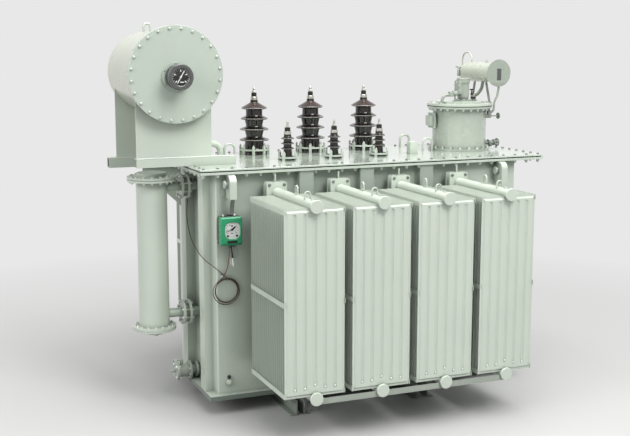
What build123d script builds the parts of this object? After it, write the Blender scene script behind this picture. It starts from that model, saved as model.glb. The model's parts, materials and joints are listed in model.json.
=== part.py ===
"""Oil-immersed power transformer with an on-load tap changer.

Millimetres, +Z up. X runs along the tank and -Y is the front, the side with the
bank of radiators nearest the thermometer. Sizes are laid out from the tank's own
centre, on the ground, and each piece is moved along X as it is written, so that
the origin is at the middle of the whole outline.
"""
import os
from math import atan2, degrees, pi, radians, sqrt, tan

from build123d import *

# Base and tank
rail_height = 120
rail_width = 55
rail_web = 9
rail_half_length = 810
rail_pairs = {"left": (-845, -735), "right": (250, 385)}   # outer left face of each rail
base_plate_length = 2880
base_plate_width = 1140
base_plate_bottom = 120
base_plate_top = 160
tank_length = 2733
tank_width = 1060
tank_corner_radius = 12
tank_rim_bottom = 1950
rim_thickness = 20
gasket_thickness = 9
cover_thickness = 14
cover_left = -1506
cover_right = 1604
cover_half_width = 605
gasket_width = 22
side_rib_width = 122
side_rib_depth = 62
side_rib_centres = (-620, -85, 465)
end_rib_width = 130
end_rib_depth = 70
left_rib_centres = (-352, 150)
right_rib_centres = (-150, 352)
lug_xs = (-1262, 1180)
lug_reach = 125
lug_bottom = 1760
lug_top = 1946
lug_pin_z = 1872
lug_bend = 45                    # inner radius where the strap curls over
strap_width = 56
strap_thickness = 14

# Radiators
radiator_centres = (-902, -357, 188, 733)
radiator_face = -1450            # outer face of the outermost front panel
panel_width = 480
panel_height = 1413
panel_bottom = 371
panel_thickness = 12
panel_seam_thickness = 3
panel_seam_width = 11
panel_pitch = 45
panel_count = 17
flute_count = 6
face_border = 12                 # thin welded border round the pressed outer panel
face_slope = 14
face_rise = 10
groove_radius = 17
groove_standoff = 9              # how far each groove cutter's axis lies in front of the face
groove_margins = {2: (52, 62), 1: (52, 62), 0: (87, 87)}    # top and bottom, from the middle out
strip_height = 38
strip_thickness = 4
header_radius = 40
header_cap_radius = 52
header_cap_thickness = 14
header_cap_reach = 38
header_top = 1797
header_bottom = 357
flange_side = 168
flange_thickness = 16
valve_length = 46
valve_radius = 64
stub_radius = 45
tie_bar_height = 45
tie_bar_thickness = 8

# Conservator
drum_x = -1622
drum_z = 2717
drum_radius = 332
drum_front = -372
drum_back = 560
drum_flange_radius = 378
drum_flange_thickness = 14
end_cover_thickness = 16
gauge_z = 2702
gauge_ring_thickness = 12
saddle_plate_thickness = 10
saddle_half_width = 305
front_saddle_y = -285
rear_saddle_y = 465

# Column filter on the left end
column_x = -1742
column_radius = 125
column_top = 1871
column_bottom = 600
column_flange_radius = 196
filter_pipe_radius = 38
filter_flange_radius = 104
upper_pipe_z = 1797
lower_pipe_z = 738

# Bushings
hv_xs = (-720, -191, 329)
hv_y = 378
lv_xs = (-618, -196, 226)
lv_y = -163

# Tap changer
tap_x = 1150
tap_y = 75
tap_body_radius = 243
tap_base_radius = 278
tap_head_radius = 292
tap_head_bottom = 2371
tap_head_top = 2415
crown_radius = 208
crown_top = 2431
gear_radius = 54
upper_valve = (1356, -100, 2300)
small_drum_x = 1417
small_drum_z = 2685
small_drum_radius = 88
small_drum_front = -144
small_drum_back = 388

# Cover fittings, thermometer and its capillary
cover_eyes = ((-1003, 212), (785, 448), (812, 47))
drum_eye_y = 500
eye_rod_radius = 10
box_x = -1277
box_width = 176
box_depth = 80
box_height = 226
box_face = -648
box_bottom = 1397
box_gland_y = -606
capillary_radius = 3
coil_centre = (-1290, -545, 1015)
coil_outer = 116
coil_inner = 88
coil_depth = 22
capillary_lower_route = [
    (-1281, -606, 1368), (-1282, -603, 1322), (-1284, -594, 1272), (-1287, -580, 1224),
    (-1294, -566, 1184), (-1307, -556, 1150), (-1323, -550, 1120), (-1347, -547, 1099)]
capillary_upper_route = [
    (-1281, -544, 1115), (-1307, -541, 1137), (-1335, -543, 1165), (-1368, -550, 1196),
    (-1408, -549, 1228), (-1440, -524, 1256), (-1455, -485, 1272), (-1457, -436, 1281),
    (-1457, -373, 1293), (-1454, -297, 1309), (-1451, -215, 1328), (-1446, -139, 1352),
    (-1442, -73, 1382), (-1438, -19, 1419), (-1436, 21, 1464), (-1434, 49, 1521),
    (-1432, 59, 1578), (-1429, 54, 1633), (-1426, 39, 1685), (-1424, 20, 1726)]

tank_wall = tank_width / 2
tank_end = tank_length / 2
gasket_bottom = tank_rim_bottom + rim_thickness
cover_bottom = gasket_bottom + gasket_thickness
cover_top = cover_bottom + cover_thickness
panel_top = panel_bottom + panel_height
bundle_depth = panel_pitch * (panel_count - 1) + panel_thickness


def block(x0, x1, y0, y1, z0, z1):
    """Box between six planes."""
    centre = Pos((x0 + x1) / 2, (y0 + y1) / 2, (z0 + z1) / 2)
    return centre * Box(x1 - x0, y1 - y0, z1 - z0)


def post(x, y, z0, z1, radius):
    """Upright round bar between two heights."""
    return Pos(x, y, (z0 + z1) / 2) * Cylinder(radius, z1 - z0)


def bar_x(x0, x1, y, z, radius):
    """Round bar along X."""
    return Pos((x0 + x1) / 2, y, z) * Rot(0, 90, 0) * Cylinder(radius, x1 - x0)


def bar_y(x, y0, y1, z, radius):
    """Round bar along Y."""
    return Pos(x, (y0 + y1) / 2, z) * Rot(90, 0, 0) * Cylinder(radius, y1 - y0)


def plate_xz(points, y0, y1):
    """Flat plate with an outline in X and Z, between two Y planes."""
    face = make_face(Polyline(*points, close=True))
    return Pos(0, y1, 0) * Rot(90, 0, 0) * extrude(face, y1 - y0)


def strut(x0, z0, x1, z1, y, width, thickness):
    """Flat bar between two points of a plane across Y."""
    lean = degrees(atan2(x1 - x0, z1 - z0))
    length = sqrt((x1 - x0) ** 2 + (z1 - z0) ** 2)
    return Pos((x0 + x1) / 2, y, (z0 + z1) / 2) * Rot(0, lean, 0) * Box(width, thickness, length)


def swept_rod(points, radii, radius):
    """Round rod along straight runs joined by tangent arcs."""
    path = FilletPolyline(*points, radius=radii)
    section = Plane(path @ 0, z_dir=path % 0) * Circle(radius)
    return sweep(section, path=path)


def turned(profile):
    """Solid turned about Z from (radius, height) points."""
    outline = [(0, profile[0][1])] + list(profile) + [(0, profile[-1][1])]
    face = make_face(Polyline(*[(r, 0, z) for r, z in outline], close=True))
    return revolve(face, Axis.Z)


def front_and_back(shape):
    """The shape and its copy turned half round onto the other side in Y."""
    return [shape, mirror(shape, Plane.XZ)]


# Base and tank: the pieces
def rail(left, web_on_right):
    """One channel-section skid rail running front to back."""
    channel = block(left, left + rail_width, -rail_half_length, rail_half_length, 0, rail_height)
    if web_on_right:
        hollow_x = (left - 1, left + rail_width - rail_web)
    else:
        hollow_x = (left + rail_web, left + rail_width + 1)
    hollow = block(*hollow_x, -rail_half_length - 1, rail_half_length + 1,
                   rail_web, rail_height - rail_web)
    return channel - hollow


def skid_pair(side):
    first, second = rail_pairs[side]
    return [rail(first, True), rail(second, False)]


def base_plate():
    return block(-base_plate_length / 2, base_plate_length / 2,
                 -base_plate_width / 2, base_plate_width / 2,
                 base_plate_bottom, base_plate_top)


def tank_body():
    body = block(-tank_end, tank_end, -tank_wall, tank_wall, base_plate_top, gasket_bottom)
    return fillet(body.edges().filter_by(Axis.Z), tank_corner_radius)


def tank_ribs():
    """Upright box ribs on all four walls."""
    ribs = []
    for x in side_rib_centres:
        rib = block(x - side_rib_width / 2, x + side_rib_width / 2,
                    -tank_wall - side_rib_depth, -tank_wall, base_plate_top, tank_rim_bottom)
        ribs += front_and_back(rib)
    ends = ((-1, left_rib_centres), (1, right_rib_centres))
    for side, centres in ends:
        inner, outer = side * tank_end, side * (tank_end + end_rib_depth)
        for y in centres:
            ribs.append(block(min(inner, outer), max(inner, outer),
                              y - end_rib_width / 2, y + end_rib_width / 2,
                              base_plate_top, tank_rim_bottom))
    return ribs


def tank_rim_flange():
    outer = block(cover_left, cover_right, -cover_half_width, cover_half_width,
                  tank_rim_bottom, gasket_bottom)
    hole = block(-tank_end, tank_end, -tank_wall, tank_wall,
                 tank_rim_bottom - 1, gasket_bottom + 1)
    hole = fillet(hole.edges().filter_by(Axis.Z), tank_corner_radius)
    return outer - hole


def cover_gasket():
    """Thin seal, set in from the rim so a dark gap shows all round."""
    inset = 12
    outer = block(cover_left + inset, cover_right - inset,
                  -cover_half_width + inset, cover_half_width - inset,
                  gasket_bottom, cover_bottom)
    inner = block(cover_left + inset + gasket_width, cover_right - inset - gasket_width,
                  -cover_half_width + inset + gasket_width,
                  cover_half_width - inset - gasket_width,
                  gasket_bottom - 1, cover_bottom + 1)
    return outer - inner


def cover_plate():
    plate = block(cover_left, cover_right, -cover_half_width, cover_half_width,
                  cover_bottom, cover_top)
    return chamfer(plate.edges().group_by(Axis.Z)[-1], 2)


def lifting_lug(x):
    """Upright cheek with a sling pin, edged by a strap that curls onto the wall."""
    cheek_x = x - 12
    front = -tank_wall - lug_reach
    bend_y, bend_z = front + lug_bend, lug_top - strap_thickness - lug_bend
    bend_axis = Pos(0, bend_y, bend_z) * Rot(0, 90, 0)
    cheek = block(cheek_x - 10, cheek_x + 10, front, -tank_wall, lug_bottom,
                  lug_top - strap_thickness)
    corner = block(cheek_x - 11, cheek_x + 11, front - 1, bend_y, bend_z, lug_top)
    cheek = cheek - corner + Pos(cheek_x, 0, 0) * bend_axis * Cylinder(lug_bend, 20)
    low_strap = block(x - strap_width / 2, x + strap_width / 2, front - strap_thickness,
                      front, lug_bottom, bend_z)
    top_strap = block(x - strap_width / 2, x + strap_width / 2, bend_y, -tank_wall,
                      lug_top - strap_thickness, lug_top)
    bend = Pos(x, 0, 0) * bend_axis * (Cylinder(lug_bend + strap_thickness, strap_width)
                                       - Cylinder(lug_bend, strap_width + 2))
    bend &= block(x - strap_width / 2, x + strap_width / 2, front - strap_thickness,
                  bend_y, bend_z, lug_top)
    pin = bar_x(cheek_x - 34, cheek_x, -tank_wall - 62, lug_pin_z, 24)
    collar = bar_x(cheek_x - 42, cheek_x - 32, -tank_wall - 62, lug_pin_z, 32)
    return cheek + low_strap + top_strap + bend + pin + collar


def lifting_lugs():
    lugs = []
    for x in lug_xs:
        lugs += front_and_back(lifting_lug(x))
    return lugs


# Radiators: the pieces
def plain_panel():
    """Pressed panel: a broad hollow between two thin welded seams."""
    half = panel_width / 2
    seam = panel_seam_thickness / 2
    body = panel_thickness / 2
    points = [(-half, -seam), (-half + panel_seam_width, -seam),
              (-half + panel_seam_width + 9, -body), (half - panel_seam_width - 9, -body),
              (half - panel_seam_width, -seam), (half, -seam),
              (half, seam), (half - panel_seam_width, seam),
              (half - panel_seam_width - 9, body), (-half + panel_seam_width + 9, body),
              (-half + panel_seam_width, seam), (-half, seam)]
    face = make_face(Polyline(*[(x, y + body) for x, y in points], close=True))
    return Pos(0, 0, panel_bottom) * extrude(face, panel_height)


def face_panel():
    """Outer panel: a raised face inside a thin seam, with a groove between each two flutes."""
    half = panel_width / 2
    middle = (panel_bottom + panel_top) / 2
    seam = block(-half, half, face_rise, panel_thickness, panel_bottom, panel_top)
    foot = Pos(0, panel_thickness, middle) * Rot(90, 0, 0) * Rectangle(
        panel_width - 2 * face_border, panel_height - 2 * face_border)
    slope = degrees(atan2(face_slope, panel_thickness))
    panel = seam + extrude(foot, panel_thickness, taper=slope)
    flute = panel_width / flute_count
    for number in range(flute_count - 1):
        from_middle = number - (flute_count - 2) / 2
        above, below = groove_margins[int(abs(from_middle))]
        x, top, bottom = from_middle * flute, panel_top - above, panel_bottom + below
        cutter = post(x, -groove_standoff, bottom, top, groove_radius)
        for z in (bottom, top):
            cutter += Pos(x, -groove_standoff, z) * Sphere(groove_radius)
        panel -= cutter
    return panel


def header(z):
    """Header pipe through the panels, its domed end cap and its wall flange."""
    pipe = bar_y(0, -header_cap_reach + 6, 786, z, header_radius)
    cap = bar_y(0, -header_cap_reach, -header_cap_reach + header_cap_thickness, z,
                header_cap_radius)
    cap = fillet(cap.edges().group_by(Axis.Y)[0], 6)
    flange = block(-flange_side / 2, flange_side / 2, 786, 786 + flange_thickness,
                   z - flange_side / 2, z + flange_side / 2)
    flange = fillet(flange.edges().filter_by(Axis.Y), 18)
    return pipe + cap + flange


def radiator():
    """One radiator at X = 0, its outer face at Y = 0 and the tank on +Y."""
    solid = face_panel()
    inner = plain_panel()
    panels = [Pos(0, number * panel_pitch, 0) * inner for number in range(1, panel_count)]
    strips = []
    half = panel_width / 2
    for z in (panel_bottom, (panel_bottom + panel_top - strip_height) / 2,
              panel_top - strip_height):
        for side in (-1, 1):
            x = side * (half + strip_thickness / 2 - 1)
            strips.append(block(x - strip_thickness / 2, x + strip_thickness / 2, 1,
                                bundle_depth, z, z + strip_height))
    return solid.fuse(header(header_top), header(header_bottom), *panels, *strips)


def radiators(side):
    base = radiator()
    placed = []
    for x in radiator_centres:
        if side == "front":
            placed.append(Pos(x, radiator_face, 0) * base)
        else:
            placed.append(Pos(x, -radiator_face, 0) * Rot(0, 0, 180) * base)
    return placed


def radiator_valve(z):
    """Butterfly valve, wall flange and stub between a header and the tank."""
    start = 786 + flange_thickness
    body = bar_y(0, start, start + valve_length, z, valve_radius)
    flange = block(-flange_side / 2, flange_side / 2, start + valve_length,
                   start + valve_length + flange_thickness,
                   z - flange_side / 2, z + flange_side / 2)
    flange = fillet(flange.edges().filter_by(Axis.Y), 18)
    wall = -radiator_face - tank_wall
    stub = bar_y(0, start + valve_length, wall, z, stub_radius)
    middle = start + valve_length / 2
    spindle = post(0, middle, z + valve_radius - 6, z + valve_radius + 74, 7)
    gland = post(0, middle, z + valve_radius - 6, z + valve_radius + 18, 15)
    return body + flange + stub + spindle + gland


def radiator_valves():
    valves = []
    for z in (header_top, header_bottom):
        valve = radiator_valve(z)
        for x in radiator_centres:
            valves.append(Pos(x, radiator_face, 0) * valve)
            valves.append(Pos(x, -radiator_face, 0) * Rot(0, 0, 180) * valve)
    return valves


def radiator_tie_bars():
    """Flat bars that tie the bottom headers together just behind their caps."""
    bars = []
    z0 = header_bottom - 48
    y0 = radiator_face - 17
    reach = sqrt(header_radius ** 2 - 20 ** 2)
    for left, right in zip(radiator_centres, radiator_centres[1:]):
        bar = block(left + reach - 14, right - reach + 14, y0, y0 + tie_bar_thickness,
                    z0, z0 + tie_bar_height)
        for x in (left, right):
            bar -= bar_y(x, y0 - 1, y0 + tie_bar_thickness + 1, header_bottom, header_radius)
        bars += front_and_back(bar)
    return bars


# Conservator: the pieces
def conservator_drum():
    drum = bar_y(drum_x, drum_front, drum_back, drum_z, drum_radius)
    rim = bar_y(drum_x, drum_front, drum_front + drum_flange_thickness, drum_z,
                drum_flange_radius)
    drum = fillet(drum.edges().group_by(Axis.Y)[-1], 14)
    return drum + rim


def conservator_end_cover():
    front = drum_front - end_cover_thickness
    disc = bar_y(drum_x, front, drum_front, drum_z, drum_flange_radius)
    disc = chamfer(disc.edges().group_by(Axis.Y)[0], 2)
    return disc + bar_y(drum_x, front - gauge_ring_thickness, front, gauge_z, 116)


def oil_gauge():
    """Dial gauge standing out of the end cover on a short neck."""
    front = drum_front - end_cover_thickness - gauge_ring_thickness
    profile = [(92, 0), (92, 12), (74, 16), (74, 92), (96, 96), (100, 102), (100, 124),
               (94, 132)]
    case = Pos(drum_x, front, gauge_z) * Rot(90, 0, 0) * turned(profile)
    return case - bar_y(drum_x, front - 133, front - 114, gauge_z, 72)


def saddle_plate(y, bottom):
    """Plate cut to the drum's curve, standing on a beam."""
    left, right = drum_x - saddle_half_width, drum_x + saddle_half_width
    plate = block(left, right, y, y + saddle_plate_thickness, bottom, drum_z)
    return plate - bar_y(drum_x, y - 1, y + saddle_plate_thickness + 1, drum_z, drum_radius)


def conservator_support_front():
    """Saddle plate on an angle beam that rests on the cover."""
    beam_top = cover_top + 74
    beam_right = -1116
    left = drum_x - saddle_half_width
    web = block(left, beam_right, front_saddle_y - 8, front_saddle_y, cover_top, beam_top)
    foot = block(left, beam_right, front_saddle_y - 8, front_saddle_y + 60,
                 cover_top, cover_top + 8)
    top = block(left, drum_x + saddle_half_width, front_saddle_y - 8, front_saddle_y + 60,
                beam_top - 8, beam_top)
    plate = saddle_plate(front_saddle_y - 8, beam_top - 10)
    return web + foot + top + plate


def conservator_support_rear():
    """Saddle plate on a channel carried by a knee on the tank's end wall."""
    bottom, top = 1921, 2006
    left, right = -1990, cover_left - 14
    y0 = rear_saddle_y - 40
    channel = block(left, right, y0, y0 + 80, bottom, top)
    channel -= block(left - 1, right + 1, y0 + 8, y0 + 81, bottom + 8, top - 8)
    plate = saddle_plate(y0, top - 4)
    knee = plate_xz([(-tank_end, 1560), (-tank_end, bottom), (-1700, bottom),
                     (-1700, bottom - 50)], y0 + 30, y0 + 42)
    shelf = block(-1700, -tank_end, y0, y0 + 80, bottom - 10, bottom)
    return channel + plate + knee + shelf


def conservator_pipe():
    """Feed pipe from the drum, down through a relay box to the cover."""
    x0, x1 = drum_x + 150, -1112
    y = 130
    start_z = drum_z - 290
    pipe = swept_rod([(x0, y, start_z), (x0, y, 2204), (x1, y, 2104), (x1, y, cover_top)],
                     [70, 60], 27)
    foot = post(x1, y, cover_top, cover_top + 14, 62)
    pipe -= bar_y(drum_x, drum_front, drum_back, drum_z, drum_radius)
    mid = Pos(-1310, y, 2160) * Rot(0, degrees(atan2(100, x1 - x0)), 0)
    relay = mid * Box(150, 120, 118)
    flange_a = mid * Pos(-82, 0, 0) * Rot(0, 90, 0) * Cylinder(62, 14)
    flange_b = mid * Pos(82, 0, 0) * Rot(0, 90, 0) * Cylinder(62, 14)
    return pipe + foot + relay + flange_a + flange_b


# Left-end equipment: the pieces
def filter_column():
    body = post(column_x, 0, column_bottom + 10, column_top, column_radius)
    top_flange = post(column_x, 0, column_top - 18, column_top, column_flange_radius)
    lid = post(column_x, 0, column_top + 3, column_top + 21, column_flange_radius)
    seal = post(column_x, 0, column_top - 1, column_top + 4, column_radius + 20)
    neck = post(column_x, 0, column_top + 20, 1921, column_radius - 4)
    low_radius = column_flange_radius - 18
    bottom_flange = post(column_x, 0, 634, 650, low_radius)
    bottom_lid = post(column_x, 0, 618, 632, low_radius)
    dish = post(column_x, 0, 584, 619, column_radius - 24)
    dish = chamfer(dish.edges().group_by(Axis.Z)[0], 14)
    drain = post(column_x + 12, 0, 556, 590, 14)
    return (body + top_flange + lid + seal + neck + bottom_flange + bottom_lid
            + post(column_x, 0, 630, 636, column_radius + 20) + dish + drain)


def filter_pipe(z):
    """Pipe from the column to the tank's end wall, with a flanged joint."""
    start = column_x + sqrt(column_radius ** 2 - filter_pipe_radius ** 2) - 2
    pipe = bar_x(start, -tank_end, 0, z, filter_pipe_radius)
    near = bar_x(-1512, -1494, 0, z, filter_flange_radius)
    valve = bar_x(-1494, -1460, 0, z, filter_flange_radius - 34)
    far = bar_x(-1460, -1442, 0, z, filter_flange_radius)
    trim = post(column_x, 0, z - 100, z + 100, column_radius)
    return pipe + near + valve + far - trim


def drain_valve():
    """Gate valve near the foot of the end wall, its spindle pointing out."""
    z = 232
    stub = bar_x(-1460, -tank_end, 0, z, 40)
    wall_flange = bar_x(-1402, -1384, 0, z, 64)
    flange = bar_x(-1462, -1444, 0, z, 78)
    body = bar_x(-1552, -1460, 0, z, 55)
    end = bar_x(-1572, -1552, 0, z, 80)
    stem = bar_x(-1622, -1572, 0, z, 9)
    cock = post(-1520, 0, z + 50, z + 96, 13)
    lever = bar_x(-1560, -1512, 0, z + 90, 7)
    return stub + wall_flange + flange + body + end + stem + cock + lever


# Bushings: the pieces
def shed_profile(body, sheds, bottom, top):
    """Outline of a shedded insulator: flat undersides and sloping tops."""
    points = [(body[0], bottom)]
    for radius, z in sheds:
        points += [(body[0], z - 14), (radius - 3, z - 7), (radius, z), (radius - 4, z + 5),
                   (body[1] + 4, z + 22), (body[1], z + 30)]
    points.append((body[1], top))
    return points


def hv_insulator():
    sheds = [(130, 2121), (127, 2213), (119, 2305)]
    profile = [(112, cover_top), (112, cover_top + 24), (90, cover_top + 38)]
    profile += shed_profile((83, 72), sheds, cover_top + 54, 2378)
    profile += [(107, 2388), (113, 2395), (108, 2402), (40, 2440), (33, 2446), (33, 2464)]
    return turned(profile)


def lv_insulator():
    sheds = [(56, 2088), (56, 2130), (55, 2172)]
    profile = [(62, cover_top), (62, cover_top + 16), (38, cover_top + 26)]
    for radius, z in sheds:
        profile += [(33, z - 8), (radius - 2, z - 4), (radius, z), (radius - 2, z + 3),
                    (34, z + 12)]
    profile += [(31, 2190), (31, 2204)]
    return turned(profile)


def clamp_ring(radius, foot, height, count, bolt_height):
    """Ring over the insulator's foot with bolted clamps round it."""
    ring = Cylinder(radius, 14) - Cylinder(foot + 1, 20)
    ring = Pos(0, 0, height) * ring
    for number in range(count):
        angle = 360 / count * (number + 0.5)
        clamp = Rot(0, 0, angle) * Pos(foot + 10, 0, bolt_height / 2)
        ring += clamp * Box(16, 24, bolt_height)
    return ring


def hv_clamp_rings():
    ring = clamp_ring(128, 113, 42, 8, 72)
    return [Pos(x, hv_y, cover_top) * ring for x in hv_xs]


def lv_clamp_rings():
    ring = clamp_ring(82, 63, 22, 4, 62)
    return [Pos(x, lv_y, cover_top) * ring for x in lv_xs]


def hv_terminal():
    return turned([(30, 2464), (31, 2468), (31, 2489), (28, 2493), (23, 2494), (23, 2526),
                   (12, 2528), (12, 2564), (8, 2576)])


def lv_terminal():
    return turned([(28, 2204), (30, 2207), (30, 2228), (24, 2232), (24, 2262), (9, 2264),
                   (9, 2310), (6, 2320)])


# Tap changer: the pieces
def tap_changer_head():
    base = Pos(tap_x, tap_y, cover_top + 11) * Cylinder(tap_base_radius, 22)
    body = post(tap_x, tap_y, cover_top + 20, tap_head_bottom, tap_body_radius)
    flange = post(tap_x, tap_y, tap_head_bottom, tap_head_bottom + 20, tap_head_radius)
    left = tap_x - tap_body_radius
    box = block(left - 70, left + 14, tap_y - 20, tap_y + 60, 2216, 2308)
    plate = block(left - 34, left - 22, tap_y - 42, tap_y + 82, 2194, 2330)
    return base + body + flange + box + plate


def tap_changer_cover():
    lid = post(tap_x, tap_y, tap_head_bottom + 22, tap_head_top, tap_head_radius)
    seal = post(tap_x, tap_y, tap_head_bottom + 20, tap_head_bottom + 22, tap_head_radius - 14)
    crown = post(tap_x, tap_y, tap_head_top, crown_top, crown_radius)
    return lid + seal + crown


def tap_changer_gear():
    """Drive gear housing on the head cover, with a flat side cover to its left."""
    x, y = tap_x + 35, tap_y
    foot = post(x, y, crown_top, crown_top + 12, 80)
    neck = post(x, y, crown_top + 12, 2463, 48)
    housing = post(x, y, 2461, 2595, gear_radius)
    cap = post(x, y, 2593, 2638, gear_radius + 7)
    cap = fillet(cap.edges().group_by(Axis.Z)[-1], 7)
    side = block(x - gear_radius - 12, x - 30, y - 42, y + 42, 2486, 2616)
    side = fillet(side.edges().filter_by(Axis.X), 16)
    return foot + neck + housing + cap + side


def tap_changer_elbow():
    """Curved suction pipe from the head cover to a small valve on a stand."""
    x, y, z = tap_x - 215, tap_y - 62, 2490
    pipe = swept_rod([(x, y, tap_head_top), (x, y, z), (x + 74, y, z)], [48], 14)
    foot = post(x, y, tap_head_top, tap_head_top + 10, 30)
    foot -= post(tap_x, tap_y, tap_head_top - 1, crown_top, crown_radius)
    body = block(x + 70, x + 110, y - 18, y + 18, z - 14, z + 30)
    body = fillet(body.edges().filter_by(Axis.X), 8)
    spout = bar_x(x + 106, x + 148, y, z + 14, 22)
    stand = post(x + 132, y, crown_top, z - 4, 8) + post(x + 132, y, crown_top, crown_top + 8, 22)
    return pipe + foot + body + spout + stand


def small_drum_drain():
    """Pipe from the small drum down past the head flange to the upper valve."""
    x, y, z = upper_valve
    line = swept_rod([(1432, -128, 2612), (1432, -128, 2545), (1418, -130, 2480),
                      (1388, -132, 2425), (1382, -134, 2352), (x, y, z + 18)],
                     [60, 60, 50, 30], 10)
    return line - post(x, y, z - 16, z + 50, 22)


def small_conservator():
    """Small expansion drum on two legs beside the gear housing, with its pipes."""
    x, z, radius = small_drum_x, small_drum_z, small_drum_radius
    drum = bar_y(x, small_drum_front, small_drum_back, z, radius)
    drum = fillet(drum.edges().group_by(Axis.Y)[-1], 8)
    disc = bar_y(x, small_drum_front - 8, small_drum_front, z, 121)
    back = bar_y(x, small_drum_back, 484, z - 30, 10)
    loop_top = z + radius + 90
    breather = swept_rod([(x, 324, z + radius - 8), (x, 324, loop_top), (x, 498, loop_top),
                          (x, 498, z + 20)], [80, 80], 7)
    breather += post(x, 498, z - 70, z + 14, 20) + post(x, 498, z + 10, z + 26, 12)
    vent = post(x, 60, z + radius - 4, z + radius + 26, 9)
    front_leg = strut(x - 77, z - 20, x - 22, tap_head_top + 4, -40, 20, 8)
    front_foot = block(x - 44, x - 4, -50, -30, tap_head_top, tap_head_top + 6)
    back_leg = strut(x - 66, z - 80, x - 91, crown_top + 4, 150, 20, 8)
    back_foot = block(x - 112, x - 72, 138, 162, crown_top, crown_top + 6)
    feed_foot = (x - 108, 104)
    feed = swept_rod([(x - 8, 104, z - radius + 12), (x - 20, 104, 2536), (x - 62, 104, 2488),
                      (*feed_foot, 2468), (*feed_foot, crown_top)], [80, 60, 22], 15)
    flange = post(*feed_foot, crown_top, crown_top + 10, 32)
    sight = post(*feed_foot, crown_top + 8, crown_top + 40, 24)
    return (drum + disc + back + vent + breather + front_leg + front_foot + back_leg
            + back_foot + feed + flange + sight + small_drum_drain())


def hand_wheel(x, y, z, radius):
    """Spoked hand wheel facing along X."""
    rim = bar_x(x, x + 9, y, z, radius) - bar_x(x - 1, x + 10, y, z, radius - 8)
    hub = bar_x(x, x + 10, y, z, 9)
    spokes = block(x + 2, x + 7, y - radius + 6, y + radius - 6, z - 4, z + 4)
    spokes += block(x + 2, x + 7, y - 4, y + 4, z - radius + 6, z + radius - 6)
    return rim + hub + spokes


def upper_drain():
    """Hand-wheel valve under the flange at the foot of the small drum's drain pipe."""
    x, y, z = upper_valve
    body = post(x, y, z - 16, z + 50, 22)
    stub = bar_x(tap_x + 150, x, y, z, 14)
    stub -= post(tap_x, tap_y, cover_top, tap_head_bottom, tap_body_radius)
    stem = bar_x(x, x + 98, y, z, 5)
    return body + stub + stem + hand_wheel(x + 92, y, z, 28)


def lower_drain():
    """Flanged valve low on the side of the head, with a larger hand wheel."""
    x, y, z = tap_x + 225, -40, 2054
    stub = bar_x(x - 30, x + 14, y, z, 16)
    stub -= post(tap_x, tap_y, cover_top, tap_head_bottom, tap_body_radius)
    body = bar_x(x + 14, x + 76, y, z, 19)
    flanges = bar_x(x + 12, x + 20, y, z, 28) + bar_x(x + 68, x + 76, y, z, 28)
    outlet = post(x + 44, y, z - 34, z, 13)
    stem = bar_x(x + 76, x + 110, y, z, 7)
    return stub + body + flanges + outlet + stem + hand_wheel(x + 104, y, z, 36)


def tap_changer_valves():
    return [upper_drain(), lower_drain()]


# Cover and thermometer: the pieces
def lifting_eye(x, y, z, half_span, rise):
    """Round bar bent to a hoop and welded down by its two ends."""
    return swept_rod([(x - half_span, y, z), (x - half_span, y, z + rise),
                      (x + half_span, y, z + rise), (x + half_span, y, z)],
                     [half_span - 4, half_span - 4], eye_rod_radius)


def lifting_eyes():
    """Three eyes on the cover and one on top of the conservator."""
    eyes = [lifting_eye(x, y, cover_top, 46, 112) for x, y in cover_eyes]
    drum_eye = lifting_eye(drum_x, drum_eye_y, drum_z + drum_radius - 12, 28, 77)
    drum_eye -= bar_y(drum_x, drum_eye_y - 20, drum_eye_y + 20, drum_z, drum_radius)
    return eyes + [drum_eye]


def cover_pocket_box():
    """Small terminal box with a domed lid, standing on the cover."""
    x, y = 566, -134
    box = block(x - 40, x + 40, y - 36, y + 36, cover_top, cover_top + 104)
    box = fillet(box.edges().filter_by(Axis.Z), 8)
    lid = Pos(x, y, cover_top + 104) * Cylinder(34, 12)
    return box + fillet(lid.edges().group_by(Axis.Z)[-1], 8)


def thermometer_box():
    """Instrument case with a sunk window, on two stand-off pads on the tank wall."""
    x0, x1 = box_x - box_width / 2, box_x + box_width / 2
    case = block(x0, x1, box_face, box_face + box_depth, box_bottom, box_bottom + box_height)
    case = fillet(case.edges().filter_by(Axis.Y), 12)
    case = chamfer(case.edges().group_by(Axis.Y)[0], 4)
    window = Pos(box_x, box_face, box_bottom + 128) * Rot(90, 0, 0)
    window = window * extrude(RectangleRounded(126, 146, 44), 6, both=True)
    case -= window
    for z in (box_bottom + 40, box_bottom + box_height - 60):
        case += block(box_x - 50, box_x + 50, box_face + box_depth, -tank_wall, z, z + 24)
    return case


def thermometer_fittings():
    """Cable glands, hanger strip, coil clip and the pocket at the pipe."""
    y = box_gland_y
    x, _, bottom = capillary_lower_route[0]
    glands = [post(x, y, bottom, box_bottom, 9) + post(x, y, bottom + 13, box_bottom, 13)]
    glands.append(post(x + 39, y, box_bottom - 20, box_bottom, 11))
    top = box_bottom + box_height
    hanger = plate_xz([(box_x - 2, top), (box_x + 32, top), (-1232, 1760), (-1264, 1760)],
                      y - 4, y + 4)
    clip = block(-1326, -1306, -556, -tank_wall, 1134, 1150)
    pocket = post(*capillary_upper_route[-1][:2], 1726, 1766, 10)
    stub = bar_x(-1460, -tank_end, 0, upper_pipe_z, filter_pipe_radius)
    return glands + [hanger, clip, pocket - stub]


def corner_radii(points):
    """Largest arc radius at each corner that leaves a tenth of each run straight."""
    radii = []
    for before, here, after in zip(points, points[1:], points[2:]):
        first = Vector(here) - Vector(before)
        second = Vector(after) - Vector(here)
        half_turn = radians(first.get_angle(second)) / 2
        radii.append(0.45 * min(first.length, second.length) / tan(half_turn))
    return radii


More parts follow.
